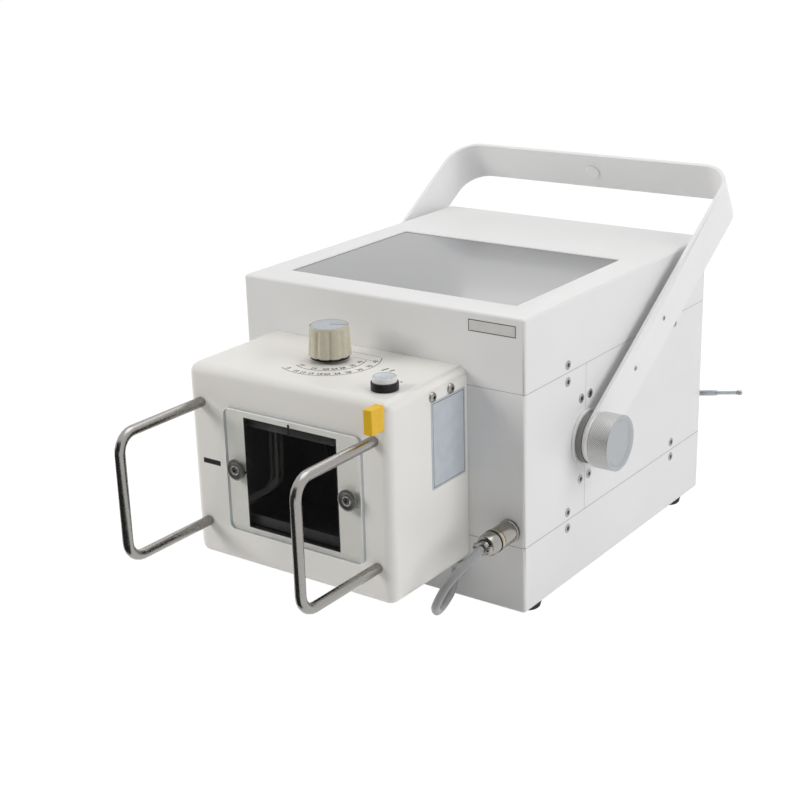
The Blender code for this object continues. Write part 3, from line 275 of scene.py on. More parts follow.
# The sheet's edge is an opaque grey, and its chamfer near-white as a painted highlight
sheet_edge = new_finish("polished sheet edge", (0.50, 0.53, 0.55), 0.16)[0]
chamfer_painted_highlight = new_finish("sheet chamfer painted highlight", (0.88, 0.89, 0.89), 0.12)[0]
print("screen and window made")

# %% [markdown]
# ## Finishes on the CAD solids
# Most of the solids already have the real shape, so they only change their material. The glTF import
# gives each one a material slot, which is filled here by the node's name.

# %% One finish for each CAD node
slot_finishes = {
    "white_coat": (housing_white, ("base_tray", "middle_front_cover", "middle_rear_cover", "top_cover",
                                   "pivot_ring_left", "pivot_ring_right")),
    "handle_coat": (handle_white, ("carrying_handle",)),
    "cream_paint": (collimator_white, ("collimator_housing",)),
    "stainless": (stainless, ("grab_handle_left", "grab_handle_right")),
    "dark_steel": (dark_steel, ("window_screw_left", "window_screw_right")),
    "nickel": (nickel, ("connector_socket", "cable_plug", "hand_switch_socket", "antenna_base",
                        "antenna_tip")),
    "knurled_aluminium": (turned_aluminium, ("clamp_knob_left", "clamp_knob_right")),
    "antenna_grey": (antenna_metal, ("antenna_mast", "antenna_rod")),
    "tube_head_metal": (casting, ("tube_head",)),
    "black_rubber": (rubber, ("foot_front_left", "foot_front_right", "foot_rear_left", "foot_rear_right")),
    "black_plastic": (black_plastic, ("button_bezel", "power_inlet", "switch_frame", "switch_rocker")),
    "light_box_black": (liner_black, ("light_box",)),
    "beige_plastic": (knob_beige, ("field_knob",)),
    "blue_grey_plastic": (cap_blue_grey, ("field_knob_cap",)),
    "silver_plastic": (button_white, ("button_cap",)),
    "yellow_plastic": (tab_yellow, ("tape_tab",)),
    "grey_cable": (cable_grey, ("collimator_cable", "cable_gland")),
    "spacer_grey": (spacer_grey, ("pivot_spacer_left", "pivot_spacer_right")),
    "cap_grey": (cap_grey, ("handle_cap",)),
    "screen_glass": (screen_grey, ("screen_glass",)),
    "display_panel": (display_dark, ("screen_panel",)),
    "clear_window": (window_clear, ("window_plate",)),
}
for slot, (finish, names) in slot_finishes.items():
    for name in names:
        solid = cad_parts[name]
        solid.data.materials.clear()
        solid.data.materials.append(finish)

# %% [markdown]
# ## The collimator's cable
# The cable leaves the plug on the box's front, hangs in a loop and goes up into the gland under the
# collimator. It is shown nearly from end to end, so its length is the length of its route. A smooth
# curve through eighteen points carries a round profile.

# %% The cable's route
PLUG_EXIT = Vector((0.117, -0.1881, 0.0655))
GLAND_END = Vector((0.0725, -0.1548, 0.0277))
CABLE_DIAMETER = 6.2 * MM
cable_points = [PLUG_EXIT, PLUG_EXIT - Vector((0, 4 * MM, 0.5 * MM)),
                Vector((0.1169, -0.1961, 0.0639)), Vector((0.1163, -0.2018, 0.0616)),
                Vector((0.1140, -0.2085, 0.0574)), Vector((0.1104, -0.2133, 0.0523)),
                Vector((0.1065, -0.2161, 0.0461)), Vector((0.1019, -0.2166, 0.0382)),
                Vector((0.0957, -0.2138, 0.0281)), Vector((0.0886, -0.2061, 0.0186)),
                Vector((0.0802, -0.1918, 0.0077)), Vector((0.0757, -0.1783, 0.0046)),
                Vector((0.0740, -0.1659, 0.0082)), Vector((0.0732, -0.1596, 0.0133)),
                Vector((0.0727, -0.1565, 0.0182)), GLAND_END - Vector((0, 0, 5.6 * MM)),
                GLAND_END - Vector((0, 0, 2.5 * MM)), GLAND_END]


def smooth_line(points, steps):
    """Points read from a smooth curve that passes through all the given ones."""
    padded = [2 * points[0] - points[1], *points, 2 * points[-1] - points[-2]]
    line = []
    for before, start, end, after in zip(padded, padded[1:], padded[2:], padded[3:]):
        for step in range(steps):
            t = step / steps
            line.append(0.5 * (2 * start + (end - before) * t
                               + (2 * before - 5 * start + 4 * end - after) * t ** 2
                               + (3 * start - before - 3 * end + after) * t ** 3))
    return [*line, points[-1]]


# %% The cable itself
cable_line = smooth_line(cable_points, 6)
cable_curve = bpy.data.curves.new("collimator_lead", "CURVE")
cable_curve.dimensions = "3D"
cable_curve.bevel_depth = CABLE_DIAMETER / 2
cable_curve.bevel_resolution = 6
cable_curve.use_fill_caps = True
spline = cable_curve.splines.new("POLY")
spline.points.add(len(cable_line) - 1)
for item, point in zip(spline.points, cable_line):
    item.co = (*point, 1)
spline.use_smooth = True
cable = bpy.data.objects.new("collimator_lead", cable_curve)
bpy.context.scene.collection.objects.link(cable)
cable_curve.materials.append(cable_grey)
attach(cable, "root")
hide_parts("collimator_cable")

# %% [markdown]
# ## Helpers for modelling
# The new pieces are made with Blender's own operators, as by hand: a primitive is added, faces are
# selected by their place, and they are inset, extruded or bevelled. Everything has to be deselected
# first, because an operator acts on all that is selected.

# %% Selecting and settling
def only(piece):
    """Make one object the selected and active one."""
    bpy.ops.object.select_all(action="DESELECT")
    piece.select_set(True)
    bpy.context.view_layer.objects.active = piece


def edit(piece, kind, parts, wanted):
    """Go into edit mode with just the points, edges or faces selected that wanted picks."""
    only(piece)
    bpy.ops.object.mode_set(mode="EDIT")
    bpy.ops.mesh.select_mode(type=kind)
    bpy.ops.mesh.select_all(action="DESELECT")
    bpy.ops.object.mode_set(mode="OBJECT")
    for part in getattr(piece.data, parts):
        part.select = bool(wanted(part))
    bpy.ops.object.mode_set(mode="EDIT")


def edit_points(piece, wanted):
    """Edit points. wanted is given the place of each point."""
    edit(piece, "VERT", "vertices", lambda point: wanted(point.co))


def edit_edges(piece, wanted):
    """Edit edges. wanted is given the two ends of each edge."""
    edit(piece, "EDGE", "edges", lambda edge: wanted(*(piece.data.vertices[end].co for end in edge.vertices)))


def edit_faces(piece, wanted):
    """Edit faces. wanted is given each face."""
    edit(piece, "FACE", "polygons", wanted)


def leave():
    """Back to object mode."""
    bpy.ops.object.mode_set(mode="OBJECT")


# %% Starting shapes, bevels and cuts
def block(low, high):
    """A box between two corners."""
    bpy.ops.mesh.primitive_cube_add(size=1)
    piece = bpy.context.active_object
    piece.data.transform(Matrix.Translation((low + high) / 2) @ Matrix.Diagonal((*(high - low), 1)))
    return piece


def cylinder(vertices, radius, depth, place=(0, 0, 0)):
    """A cylinder along Z, with its place in its mesh."""
    bpy.ops.mesh.primitive_cylinder_add(vertices=vertices, radius=radius, depth=depth, location=place)
    bpy.ops.object.transform_apply(location=True)
    return bpy.context.active_object


def bevel_edges(piece, offset, segments, wanted):
    """Bevel the edges that wanted picks."""
    edit_edges(piece, wanted)
    bpy.ops.mesh.bevel(offset=offset, segments=segments, affect="EDGES")
    leave()


def cut_out(piece, cutter):
    """Take one shape out of another with a Boolean. The cutter goes."""
    only(piece)
    cut = piece.modifiers.new("cut", "BOOLEAN")
    cut.operation = "DIFFERENCE"
    cut.solver = "EXACT"
    cut.object = cutter
    bpy.ops.object.modifier_apply(modifier="cut")
    bpy.data.objects.remove(cutter)


def paint_faces(piece, finishes, choose):
    """Give a piece several finishes. choose(face) is the number of a face's finish."""
    for finish in finishes:
        piece.data.materials.append(finish)
    for face in piece.data.polygons:
        face.material_index = choose(face)


def join_pieces(parts):
    """Join several meshes into one object."""
    only(parts[0])
    for part in parts:
        part.select_set(True)
    bpy.ops.object.join()
    return bpy.context.view_layer.objects.active


# %% Giving a finished piece its name, finish and body
def settle(piece, name, finish, body="root", smooth=30):
    """Put a piece's place into its mesh, smooth it and hang it on its body."""
    only(piece)
    bpy.ops.object.transform_apply(location=True, rotation=True, scale=True)
    bpy.ops.object.shade_smooth_by_angle(angle=math.radians(smooth))
    piece.name = piece.data.name = name
    if not piece.data.materials:
        piece.data.materials.append(finish)
    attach(piece, body)
    return piece


def copies_at(model, places):
    """One joined mesh with a copy of the model at each place. The model itself goes."""
    made = []
    for place in places:
        one = model.copy()
        one.data = model.data.copy()
        one.data.transform(place)
        if place.determinant() < 0:
            one.data.flip_normals()
        bpy.context.scene.collection.objects.link(one)
        made.append(one)
    bpy.data.objects.remove(model)
    only(made[0])
    for one in made:
        one.select_set(True)
    if len(made) > 1:
        bpy.ops.object.join()
    return bpy.context.view_layer.objects.active


# %% Turning a shape made along +Z to face another way
FACING_RIGHT = Matrix.Rotation(math.radians(90), 4, "Y")
FACING_LEFT = Matrix.Rotation(math.radians(-90), 4, "Y")
FACING_FRONT = Matrix.Rotation(math.radians(90), 4, "X")
FACING_BACK = Matrix.Rotation(math.radians(-90), 4, "X")


def put(x, y, z, facing=None):
    """A place, with a way to face."""
    return Matrix.Translation((x, y, z)) @ (facing or Matrix.Identity(4))


# %% [markdown]
# ## Smooth rounds on the CAD solids
# The CAD solids come as loose flat triangles, so a rounded edge shows its facets. Each solid with a
# rounded shape is copied, its doubled points are merged and its normals recalculated, and it is shaded
# smooth up to an angle. Weighted normals keep the large faces flat beside their rounds. On the bent
# strip of the carrying handle the triangles are paired up first, so that its bends shade evenly. The
# copy then takes the place of the solid.

# %% Smooth copies
body_of = {"carrying_handle": "handle", "handle_cap": "handle", "antenna_mast": "mast",
           "antenna_rod": "rod", "antenna_tip": "rod"}
flat_enough = ("tube_head", "screen_panel", "collimator_cable", "clamp_knob_left", "clamp_knob_right",
               "window_screw_left", "window_screw_right", "window_plate", "light_box", "button_cap",
               "screen_glass", "cable_plug")
smooth_angle = {"field_knob": 30, "connector_socket": 24}
bent_strips = ("carrying_handle",)
smooth_pieces = {}
for name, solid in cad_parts.items():
    if name in flat_enough:
        continue
    piece = bpy.data.objects.new(f"{name}_smooth", solid.data.copy())
    bpy.context.scene.collection.objects.link(piece)
    edit_points(piece, lambda place: True)
    bpy.ops.mesh.remove_doubles(threshold=0.01 * MM)
    bpy.ops.mesh.normals_make_consistent(inside=False)
    if name in bent_strips:
        bpy.ops.mesh.tris_convert_to_quads(face_threshold=math.radians(1), shape_threshold=math.radians(180))
    leave()
    bpy.ops.object.shade_smooth_by_angle(angle=math.radians(smooth_angle.get(name, 32)))
    flatten = piece.modifiers.new("flat faces stay flat", "WEIGHTED_NORMAL")
    if name in bent_strips:
        flatten.mode = "FACE_AREA_WITH_ANGLE"
        flatten.weight = 50
    else:
        flatten.weight = 100
    flatten.keep_sharp = True
    bpy.ops.object.modifier_apply(modifier=flatten.name)
    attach(piece, body_of.get(name, "root"))
    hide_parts(name)
    smooth_pieces[name] = piece
# The gland is painted a lighter grey than the cable, as painted light that lifts its shade under the
# collimator
smooth_pieces["cable_gland"].data.materials[0] = gland_grey_painted_light
print("smooth copies:", len(smooth_pieces))

# %% [markdown]
# ## The seams between the covers
# The covers of the box meet in fine dark seams. A thin dark slab lies in each gap and ends a hair
# proud of the paint, so that its edge draws the seam all the way round the corners.

# %% Seam slabs
SEAM = 0.34 * MM
HOUSING_ROUND = 2.5 * MM
HAIR = 0.03 * MM
box_low = Vector((-SIDE_X, FRONT_Y, 0))
box_high = Vector((SIDE_X, REAR_Y, 0))
tray_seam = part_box("base_tray")[1].z
lid_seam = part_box("top_cover")[0].z
middle_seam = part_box("middle_front_cover")[1].y
seams = []
for level in (tray_seam, lid_seam):
    rise = Vector((0, 0, SEAM / 2))
    centre = Vector((0, 0, level))
    piece = block(box_low + centre - rise, box_high + centre + rise)
    bevel_edges(piece, HOUSING_ROUND, 3, lambda a, b: abs(a.z - b.z) > SEAM / 2)
    grow = Vector((1 + HAIR / SIDE_X, 1 + 2 * HAIR / (REAR_Y - FRONT_Y), 1))
    piece.data.transform(Matrix.Diagonal((*grow, 1)))
    seams.append(piece)
seams.append(block(Vector((-SIDE_X - HAIR, middle_seam - SEAM / 2, tray_seam)),
                   Vector((SIDE_X + HAIR, middle_seam + SEAM / 2, lid_seam))))
settle(join_pieces(seams), "cover_seams", seam_shade)
print("seams:", len(seams))

# %% [markdown]
# ## Screws
# All screws on the machine have a hexagon socket. A head starts as a short cylinder. Its top edge is
# bevelled, and a hexagonal bar is taken out of it with a Boolean. The walls and floor of the socket
# are painted black, as painted shade. One model serves for each kind of screw.

# %% A screw head with a hexagon socket
def socket_screw(radius, height, chamfer, key, depth, sunk=0.3 * MM):
    """A head that stands `height` proud of z = 0, and reaches a little below it."""
    head = cylinder(28, radius, height + sunk, (0, 0, (height - sunk) / 2))
    bevel_edges(head, chamfer, 3, lambda a, b: a.z > height - 1e-6 and b.z > height - 1e-6)
    cut_out(head, cylinder(6, key, 2 * depth, (0, 0, height)))
    return head


def darken_socket(head, key, height, steel):
    """Steel on the head, and black in its socket as painted shade."""

    def in_socket(face):
        inside = math.hypot(face.center.x, face.center.y) < key * 0.99
        return 1 if inside and face.center.z < height - 0.05 * MM else 0

    paint_faces(head, (steel, ink_and_shade_black), in_socket)


# %% Screws on the sides of the box
# distance behind the front and height, in mm
HOUSING_SCREWS = ((61.5, 179.1), (61.5, 165.9), (82.4, 146.8), (95.8, 147.1), (82.4, 80.9), (95.7, 80.9),
                  (63.2, 59.8), (63.2, 46.6), (240.3, 60.4), (240.3, 47.1), (240.3, 179.6), (240.3, 166.4))
screw = socket_screw(3.7 * MM, 0.45 * MM, 0.3 * MM, 1.9 * MM, 0.4 * MM)
darken_socket(screw, 1.9 * MM, 0.45 * MM, screw_steel)
screw_places = []
for side, facing in ((1, FACING_RIGHT), (-1, FACING_LEFT)):
    for back_mm, up_mm in HOUSING_SCREWS:
        screw_places.append(put(side * SIDE_X, FRONT_Y + back_mm * MM, up_mm * MM, facing))
settle(copies_at(screw, screw_places), "housing_screws", screw_steel)
print("screws on the box:", len(screw_places))

# %% Screws on the carrying handle's arms
ARM_SCREWS = ((150.4, 153.5), (198.1, 182.7))
arm_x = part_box("carrying_handle")[1].x
screw = socket_screw(2.1 * MM, 0.4 * MM, 0.2 * MM, 0.9 * MM, 0.35 * MM)
darken_socket(screw, 0.9 * MM, 0.4 * MM, screw_steel)
arm_places = [put(side * arm_x, FRONT_Y + back_mm * MM, up_mm * MM, facing)
              for side, facing in ((1, FACING_RIGHT), (-1, FACING_LEFT)) for back_mm, up_mm in ARM_SCREWS]
settle(copies_at(screw, arm_places), "arm_screws", screw_steel, body="handle")
print("screws on the arms:", len(arm_places))

# %% Domed screws on the collimator's sides
SIDE_SCREWS_BACK = (-45.4, -22.4)
SIDE_SCREW_Z = 176.8 * MM
screw = socket_screw(3.8 * MM, 2.2 * MM, 1.7 * MM, 1.3 * MM, 1.1 * MM)
darken_socket(screw, 1.3 * MM, 2.2 * MM, nickel)
dome_places = [put(x, FRONT_Y + back_mm * MM, SIDE_SCREW_Z, facing)
               for x, facing in ((COLLIMATOR_HIGH.x, FACING_RIGHT), (COLLIMATOR_LOW.x, FACING_LEFT))
               for back_mm in SIDE_SCREWS_BACK]
settle(copies_at(screw, dome_places), "collimator_screws", nickel)
print("screws on the collimator:", len(dome_places))

# %% [markdown]
# ## Plates and printed marks
# The rating plate on the collimator's side is a thin sheet with a printed frame line, and its face is
# left bare. The sticker on the lid's front is the same at a smaller size. A slab gets its frame by two
# insets: the ring between them takes the ink.

# %% A thin plate with a printed frame line
def framed_plate(width, height, thickness, margin, line, corner, face_finish, line_finish):
    """A plate in the XY plane with its back at z = 0."""
    bpy.ops.mesh.primitive_cube_add(size=1, location=(0, 0, thickness / 2))
    plate = bpy.context.active_object
    plate.scale = (width, height, thickness)
    bpy.ops.object.transform_apply(location=True, rotation=True, scale=True)
    edit_faces(plate, lambda face: face.normal.z > 0.9)
    bpy.ops.mesh.inset(thickness=margin, depth=0)
    bpy.ops.mesh.inset(thickness=line, depth=0)
    leave()
    bevel_edges(plate, corner, 4, lambda a, b: abs(a.z - b.z) > thickness / 2)
    inner_x, inner_y = width / 2 - margin, height / 2 - margin

    def on_line(face):
        x, y = abs(face.center.x), abs(face.center.y)
        outside = x > inner_x - line * 1.01 or y > inner_y - line * 1.01
        return 1 if face.normal.z > 0.9 and outside and x < inner_x and y < inner_y else 0

    paint_faces(plate, (face_finish, line_finish), on_line)
    return plate


# %% The rating plate and the lid's sticker
PLATE_WIDTH, PLATE_HEIGHT = 43 * MM, 67 * MM
plate = framed_plate(PLATE_WIDTH, PLATE_HEIGHT, 0.4 * MM, 1.5 * MM, 0.45 * MM, 0.8 * MM,
                     plate_silver, ink_and_shade_black)
plate.data.transform(put(COLLIMATOR_HIGH.x, FRONT_Y - 25.5 * MM, 139.5 * MM,
                         FACING_RIGHT @ Matrix.Rotation(math.radians(90), 4, "Z")))
settle(plate, "rating_plate", plate_silver)

STICKER_WIDTH, STICKER_HEIGHT = 40.5 * MM, 9.4 * MM
sticker = framed_plate(STICKER_WIDTH, STICKER_HEIGHT, 0.12 * MM, 0.3 * MM, 0.6 * MM, 0.4 * MM,
                       label_white, ink_and_shade_black)
sticker.data.transform(put(102.5 * MM, FRONT_Y, 219 * MM, FACING_FRONT))
settle(sticker, "lid_sticker", label_white)
print("plates made")


# %% Flat printed bars
def printed_bar(width, height, place, thickness=0.06 * MM):
    """A bar of ink in the XY plane of its place."""
    bpy.ops.mesh.primitive_cube_add(size=1)
    bar = bpy.context.active_object
    bar.data.transform(Matrix.Diagonal((width, height, thickness, 1)))
    edit_faces(bar, lambda face: face.normal.z > 0.9)
    bpy.ops.mesh.inset(thickness=min(width, height) * 0.12, depth=thickness * 0.2)
    leave()
    bar.data.transform(place)
    return bar


# %% [markdown]
# ## The window
# The CAD model has the window flush in a recess. The photograph shows a thicker sheet that stands on
# the front face, with rounded corners and polished edges that catch the light. Here the sheet's front
# chamfer is painted near-white, a painted highlight, and its edge is an opaque grey. So the recess is
# closed by a painted seat with the aperture in it, and the sheet stands on the seat. The walls of the
# aperture and all that lies in the recess behind it are black. Inside, two shutters of the light box
# show as dark grey bands.

# %% Slabs that stand across the front
front_face = COLLIMATOR_LOW.y
SHEET_LOW, SHEET_HIGH = Vector((-68.2, -250.0, 61.9)) * MM, Vector((58.0, -246.55, 159.3)) * MM
HOLE_LOW, HOLE_HIGH = Vector((-51.3, -256, 65.7)) * MM, Vector((34.8, -236, 153.0)) * MM


def rounded_slab(low, high, corner):
    """A box whose four edges along Y are rounded."""
    piece = block(low, high)
    bevel_edges(piece, corner, 8, lambda a, b: abs(a.y - b.y) > (high.y - low.y) / 2)
    return piece


# %% The seat with its aperture, and the black recess
recess_low, recess_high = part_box("window_plate")
margin = Vector((0.4, 0, 0.4)) * MM
seat_front = Vector((0, 0.03, 0)) * MM
seat = rounded_slab(recess_low - margin - seat_front, recess_high + margin, 8.3 * MM)
cut_out(seat, block(HOLE_LOW, HOLE_HIGH))


def between(low, high, place):
    """Whether a place lies between two corners, seen from the front."""
    return low.x < place.x < high.x and low.z < place.z < high.z


def on_hole_wall(face):
    """1 on the walls of the aperture, else 0."""
    slack = Vector((0.1, 0, 0.1)) * MM
    return 1 if between(HOLE_LOW - slack, HOLE_HIGH + slack, face.center) and abs(face.normal.y) < 0.5 else 0


def in_recess(face):
    """1 on the floor of the recess and the walls behind it, else 0."""
    behind = recess_low.y + 0.5 * MM < face.center.y < recess_low.y + 12 * MM
    return 1 if behind and between(recess_low, recess_high, face.center) else 0


paint_faces(seat, (collimator_white, liner_black), on_hole_wall)
settle(seat, "window_seat", collimator_white)
paint_faces(smooth_pieces["collimator_housing"], (liner_black,), in_recess)
print("seat made")


# %% The sheet and the shutters
def sheet_part(face):
    """0 on the front and back, 2 on the chamfer, 1 on the edge."""
    facing = abs(face.normal.y)
    return 0 if facing > 0.95 else 2 if facing > 0.3 else 1


sheet = rounded_slab(SHEET_LOW, SHEET_HIGH, 5.5 * MM)
bevel_edges(sheet, 0.6 * MM, 1, lambda a, b: max(a.y, b.y) < SHEET_LOW.y + 0.01 * MM)
# The chamfer takes a near-white finish, a painted highlight
paint_faces(sheet, (window_clear, sheet_edge, chamfer_painted_highlight), sheet_part)
settle(sheet, "window_sheet", window_clear)
sheet.visible_shadow = False
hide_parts("window_plate")

SHUTTER_Y = -241.2 * MM
SHUTTER_LEVELS = ((144.5, 151.0), (66.5, 74.5))
shutters = []
for low_z, high_z in SHUTTER_LEVELS:
    bar = block(Vector((-53 * MM, SHUTTER_Y, low_z * MM)),
                Vector((31 * MM, SHUTTER_Y + 1 * MM, high_z * MM)))
    edit_faces(bar, lambda face: face.normal.y < -0.9)
    bpy.ops.mesh.inset(thickness=0.4 * MM, depth=0.2 * MM)
    leave()
    shutters.append(bar)
settle(join_pieces(shutters), "shutters", shutter_grey)
print("window made")

# %% Centre marks on the collimator's front
marks = [printed_bar(17 * MM, 4 * MM, put(-85.3 * MM, front_face, 111.2 * MM, FACING_FRONT)),
         printed_bar(2.1 * MM, 8.8 * MM, put(-5.6 * MM, SHEET_LOW.y, 152.6 * MM, FACING_FRONT)),
         printed_bar(3.2 * MM, 1.5 * MM, put(-48.2 * MM, SHEET_LOW.y, 111.2 * MM, FACING_FRONT))]
settle(join_pieces(marks), "front_marks", ink_and_shade_black)
print("centre marks:", len(marks))

# %% [markdown]
# ## The dial round the field knob
# The knob sets the size of the light field, and two scales are printed round it: an inner and an outer
# arc, short strokes and plain numbers. An arc is a circle whose unwanted part is deleted, and which is
# extruded outwards by the line's width. The numbers are text turned into a mesh. Under the knob's skirt
# hangs a low black disc: the dark foot, and painted shadow beneath the knob.

# %% Arcs of the dial
knob_low, knob_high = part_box("field_knob")
DIAL_CENTRE = (knob_low + knob_high) / 2
DIAL_Z = COLLIMATOR_HIGH.z
INK_HEIGHT = 0.05 * MM


def arc_line(radius, width, start, end):
    """A printed arc about the dial's centre. Angles in degrees, 0 along +X."""
    bpy.ops.mesh.primitive_circle_add(vertices=180, radius=radius, fill_type="NOTHING")
    ring = bpy.context.active_object
    edit_points(ring, lambda place: not start <= math.degrees(math.atan2(place.y, place.x)) <= end)
    bpy.ops.mesh.delete(type="VERT")
    bpy.ops.mesh.select_all(action="SELECT")
    bpy.ops.mesh.extrude_edges_move()
    grow = (radius + width) / radius
    bpy.ops.transform.resize(value=(grow, grow, 1), center_override=(0, 0, 0))
    bpy.ops.mesh.select_all(action="SELECT")
    bpy.ops.mesh.normals_make_consistent(inside=False)
    leave()
    thicken = ring.modifiers.new("thickness", "SOLIDIFY")
    thicken.thickness = INK_HEIGHT
    thicken.offset = 0
    bpy.ops.object.modifier_apply(modifier="thickness")
    ring.data.transform(Matrix.Translation((DIAL_CENTRE.x, DIAL_CENTRE.y, DIAL_Z)))
    return ring


OUTER_RADIUS, INNER_RADIUS = 38 * MM, 26.8 * MM
LINE_WIDTH = 0.6 * MM
dial_parts = [arc_line(INNER_RADIUS, LINE_WIDTH, -122, 26), arc_line(OUTER_RADIUS, LINE_WIDTH, -121, 36)]
print("arcs:", len(dial_parts))


# %% Strokes and numbers of the dial
def dial_place(radius, angle):
    """A place on the dial, with +Y pointing outwards."""
    turn = math.radians(angle)
    spot = Vector((radius * math.cos(turn), radius * math.sin(turn), 0))
    return (Matrix.Translation(Vector((DIAL_CENTRE.x, DIAL_CENTRE.y, DIAL_Z)) + spot)
            @ Matrix.Rotation(turn - math.radians(90), 4, "Z"))


def dial_number(word, radius, angle, size):
    """A number printed along the dial, its top away from the knob."""
    bpy.ops.object.text_add()
    text = bpy.context.active_object
    text.data.body = word
    text.data.size = size
    text.data.align_x = "CENTER"
    text.data.align_y = "CENTER"
    text.data.extrude = INK_HEIGHT / 2
    text.data.offset = 0.13 * MM
    text.data.resolution_u = 2
    only(text)
    bpy.ops.object.convert(target="MESH")
    text = bpy.context.active_object
    text.data.transform(dial_place(radius, angle) @ Matrix.Rotation(math.radians(180), 4, "Z"))
    return text


OUTER_NUMBERS = (("8", -113), ("10", -98), ("12", -87), ("15", -76), ("18", -65), ("20", -56), ("24", -44),
                 ("28", -30), ("30", -14), ("35", 3), ("43", 22))
INNER_NUMBERS = (("10", -114), ("15", -83), ("20", -60), ("24", -45), ("28", -30), ("35", -8), ("43", 16))
for numbers, radius in ((OUTER_NUMBERS, OUTER_RADIUS), (INNER_NUMBERS, INNER_RADIUS)):
    for word, angle in numbers:
        dial_parts.append(dial_number(word, radius - 3.2 * MM, angle, 5.0 * MM))
        dial_parts.append(printed_bar(LINE_WIDTH, 1.2 * MM, dial_place(radius - 0.5 * MM, angle)))
# the straight lines behind the knob: start and end along X, and Y, in mm
DIAL_LINES = ((-12.5, 14, -162.5), (-4.4, 17, -173))
for start_x, end_x, line_y in DIAL_LINES:
    middle = put((start_x + end_x) / 2 * MM, line_y * MM, DIAL_Z)
    dial_parts.append(printed_bar((end_x - start_x) * MM, 0.35 * MM, middle))
settle(join_pieces(dial_parts), "field_dial", ink_and_shade_black)
print("dial parts:", len(OUTER_NUMBERS) + len(INNER_NUMBERS))

# %% The knob's pointer and the lamp strokes by the button
cap_low, cap_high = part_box("field_knob_cap")
pointer_place = Matrix.Translation((0, 0, cap_high.z - DIAL_Z)) @ dial_place(6.6 * MM, 30)
pointer = printed_bar(0.9 * MM, 12 * MM, pointer_place)
settle(pointer, "knob_pointer", ink_and_shade_black)

# x, y, width and length in mm
LAMP_STROKES = ((33.9, -184.9, 1.5, 7.0), (40.0, -184.5, 1.5, 4.8), (60.7, -202.2, 1.8, 2.0))
STROKE_TURN = Matrix.Rotation(math.radians(-12), 4, "Z")
strokes = [printed_bar(width * MM, length * MM, put(x * MM, y * MM, DIAL_Z, STROKE_TURN))
           for x, y, width, length in LAMP_STROKES]
settle(join_pieces(strokes), "lamp_strokes", ink_and_shade_black)

# A black disc under the knob's skirt: the dark foot, and painted shadow beneath the knob
foot = cylinder(48, 14.6 * MM, 1.6 * MM, (DIAL_CENTRE.x, DIAL_CENTRE.y, DIAL_Z + 3.1 * MM))
bevel_edges(foot, 0.4 * MM, 2, lambda a, b: min(a.z, b.z) > DIAL_Z + 3 * MM)
settle(foot, "knob_foot_and_painted_shadow", black_plastic)
print("pointer, lamp strokes and knob foot made")

# %% [markdown]
# ## The lamp button and the touch screen
# The button's cap has a pale blue disc let into its top, with a thin dark seam round it. The cap is a
# cylinder whose top face is inset twice, and the seam is the ring between the insets. The screen's
# glass gets a black border in the same way: a gasket, and painted shade in the gap under the lid's
# edge.

# %% The button's cap
cap_low, cap_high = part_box("button_cap")
cap_high.z -= 1.3 * MM
cap_middle = (cap_low + cap_high) / 2
CAP_RADIUS = (cap_high.x - cap_low.x) / 2
DISC_RADIUS = CAP_RADIUS - 0.9 * MM


def cap_part(face):
    """0 on the rim, 1 in the seam, 2 on the disc."""
    reach = math.hypot(face.center.x - cap_middle.x, face.center.y - cap_middle.y)
    on_top = face.normal.z > 0.9 and face.center.z > cap_high.z - 0.2 * MM
    in_seam = 0.3 < face.normal.z and DISC_RADIUS < reach < DISC_RADIUS + 0.3 * MM
    return 1 if in_seam else 2 if on_top and reach < DISC_RADIUS else 0


cap = cylinder(64, CAP_RADIUS, cap_high.z - cap_low.z, cap_middle)
bevel_edges(cap, 0.5 * MM, 3, lambda a, b: min(a.z, b.z) > cap_high.z - 0.01 * MM)
edit_faces(cap, lambda face: face.normal.z > 0.99)
bpy.ops.mesh.inset(thickness=0.1 * MM, depth=0)
bpy.ops.mesh.inset(thickness=0.3 * MM, depth=-0.1 * MM)
leave()
paint_faces(cap, (button_white, seam_grey, button_disc), cap_part)
settle(cap, "button_top", button_white)
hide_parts("button_cap")

# %% The screen's glass and its black border, a gasket and painted shade
glass_low, glass_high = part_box("screen_glass")
GASKET_AND_SHADE = 1.0 * MM


def on_gasket_and_shade(face):
    """1 near the glass's border, else 0."""
    away = face.center - (glass_low + glass_high) / 2
    size = glass_high - glass_low
    return 1 if max(abs(away.x) / size.x, abs(away.y) / size.y) > 0.4 else 0


glass = block(glass_low, glass_high)
edit_faces(glass, lambda face: face.normal.z > 0.9)
bpy.ops.mesh.inset(thickness=GASKET_AND_SHADE, depth=0)
leave()
paint_faces(glass, (screen_grey, rubber), on_gasket_and_shade)
settle(glass, "screen_face", screen_grey)
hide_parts("screen_glass")
print("button and screen made")

# %% [markdown]
# ## The cable's plug
# The plug is turned: a ring of points is extruded along its axis and scaled step by step, as on a
# lathe. A gilt ring and a dark gap lie between the barrel and the rear shell; the gap and the other
# narrow bands are painted black, as painted shade. A saddle clamp with two screws holds the cable at
# the end.

# %% The turned plug
plug_low, plug_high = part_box("cable_plug")
plug_axis = (plug_low + plug_high) / 2
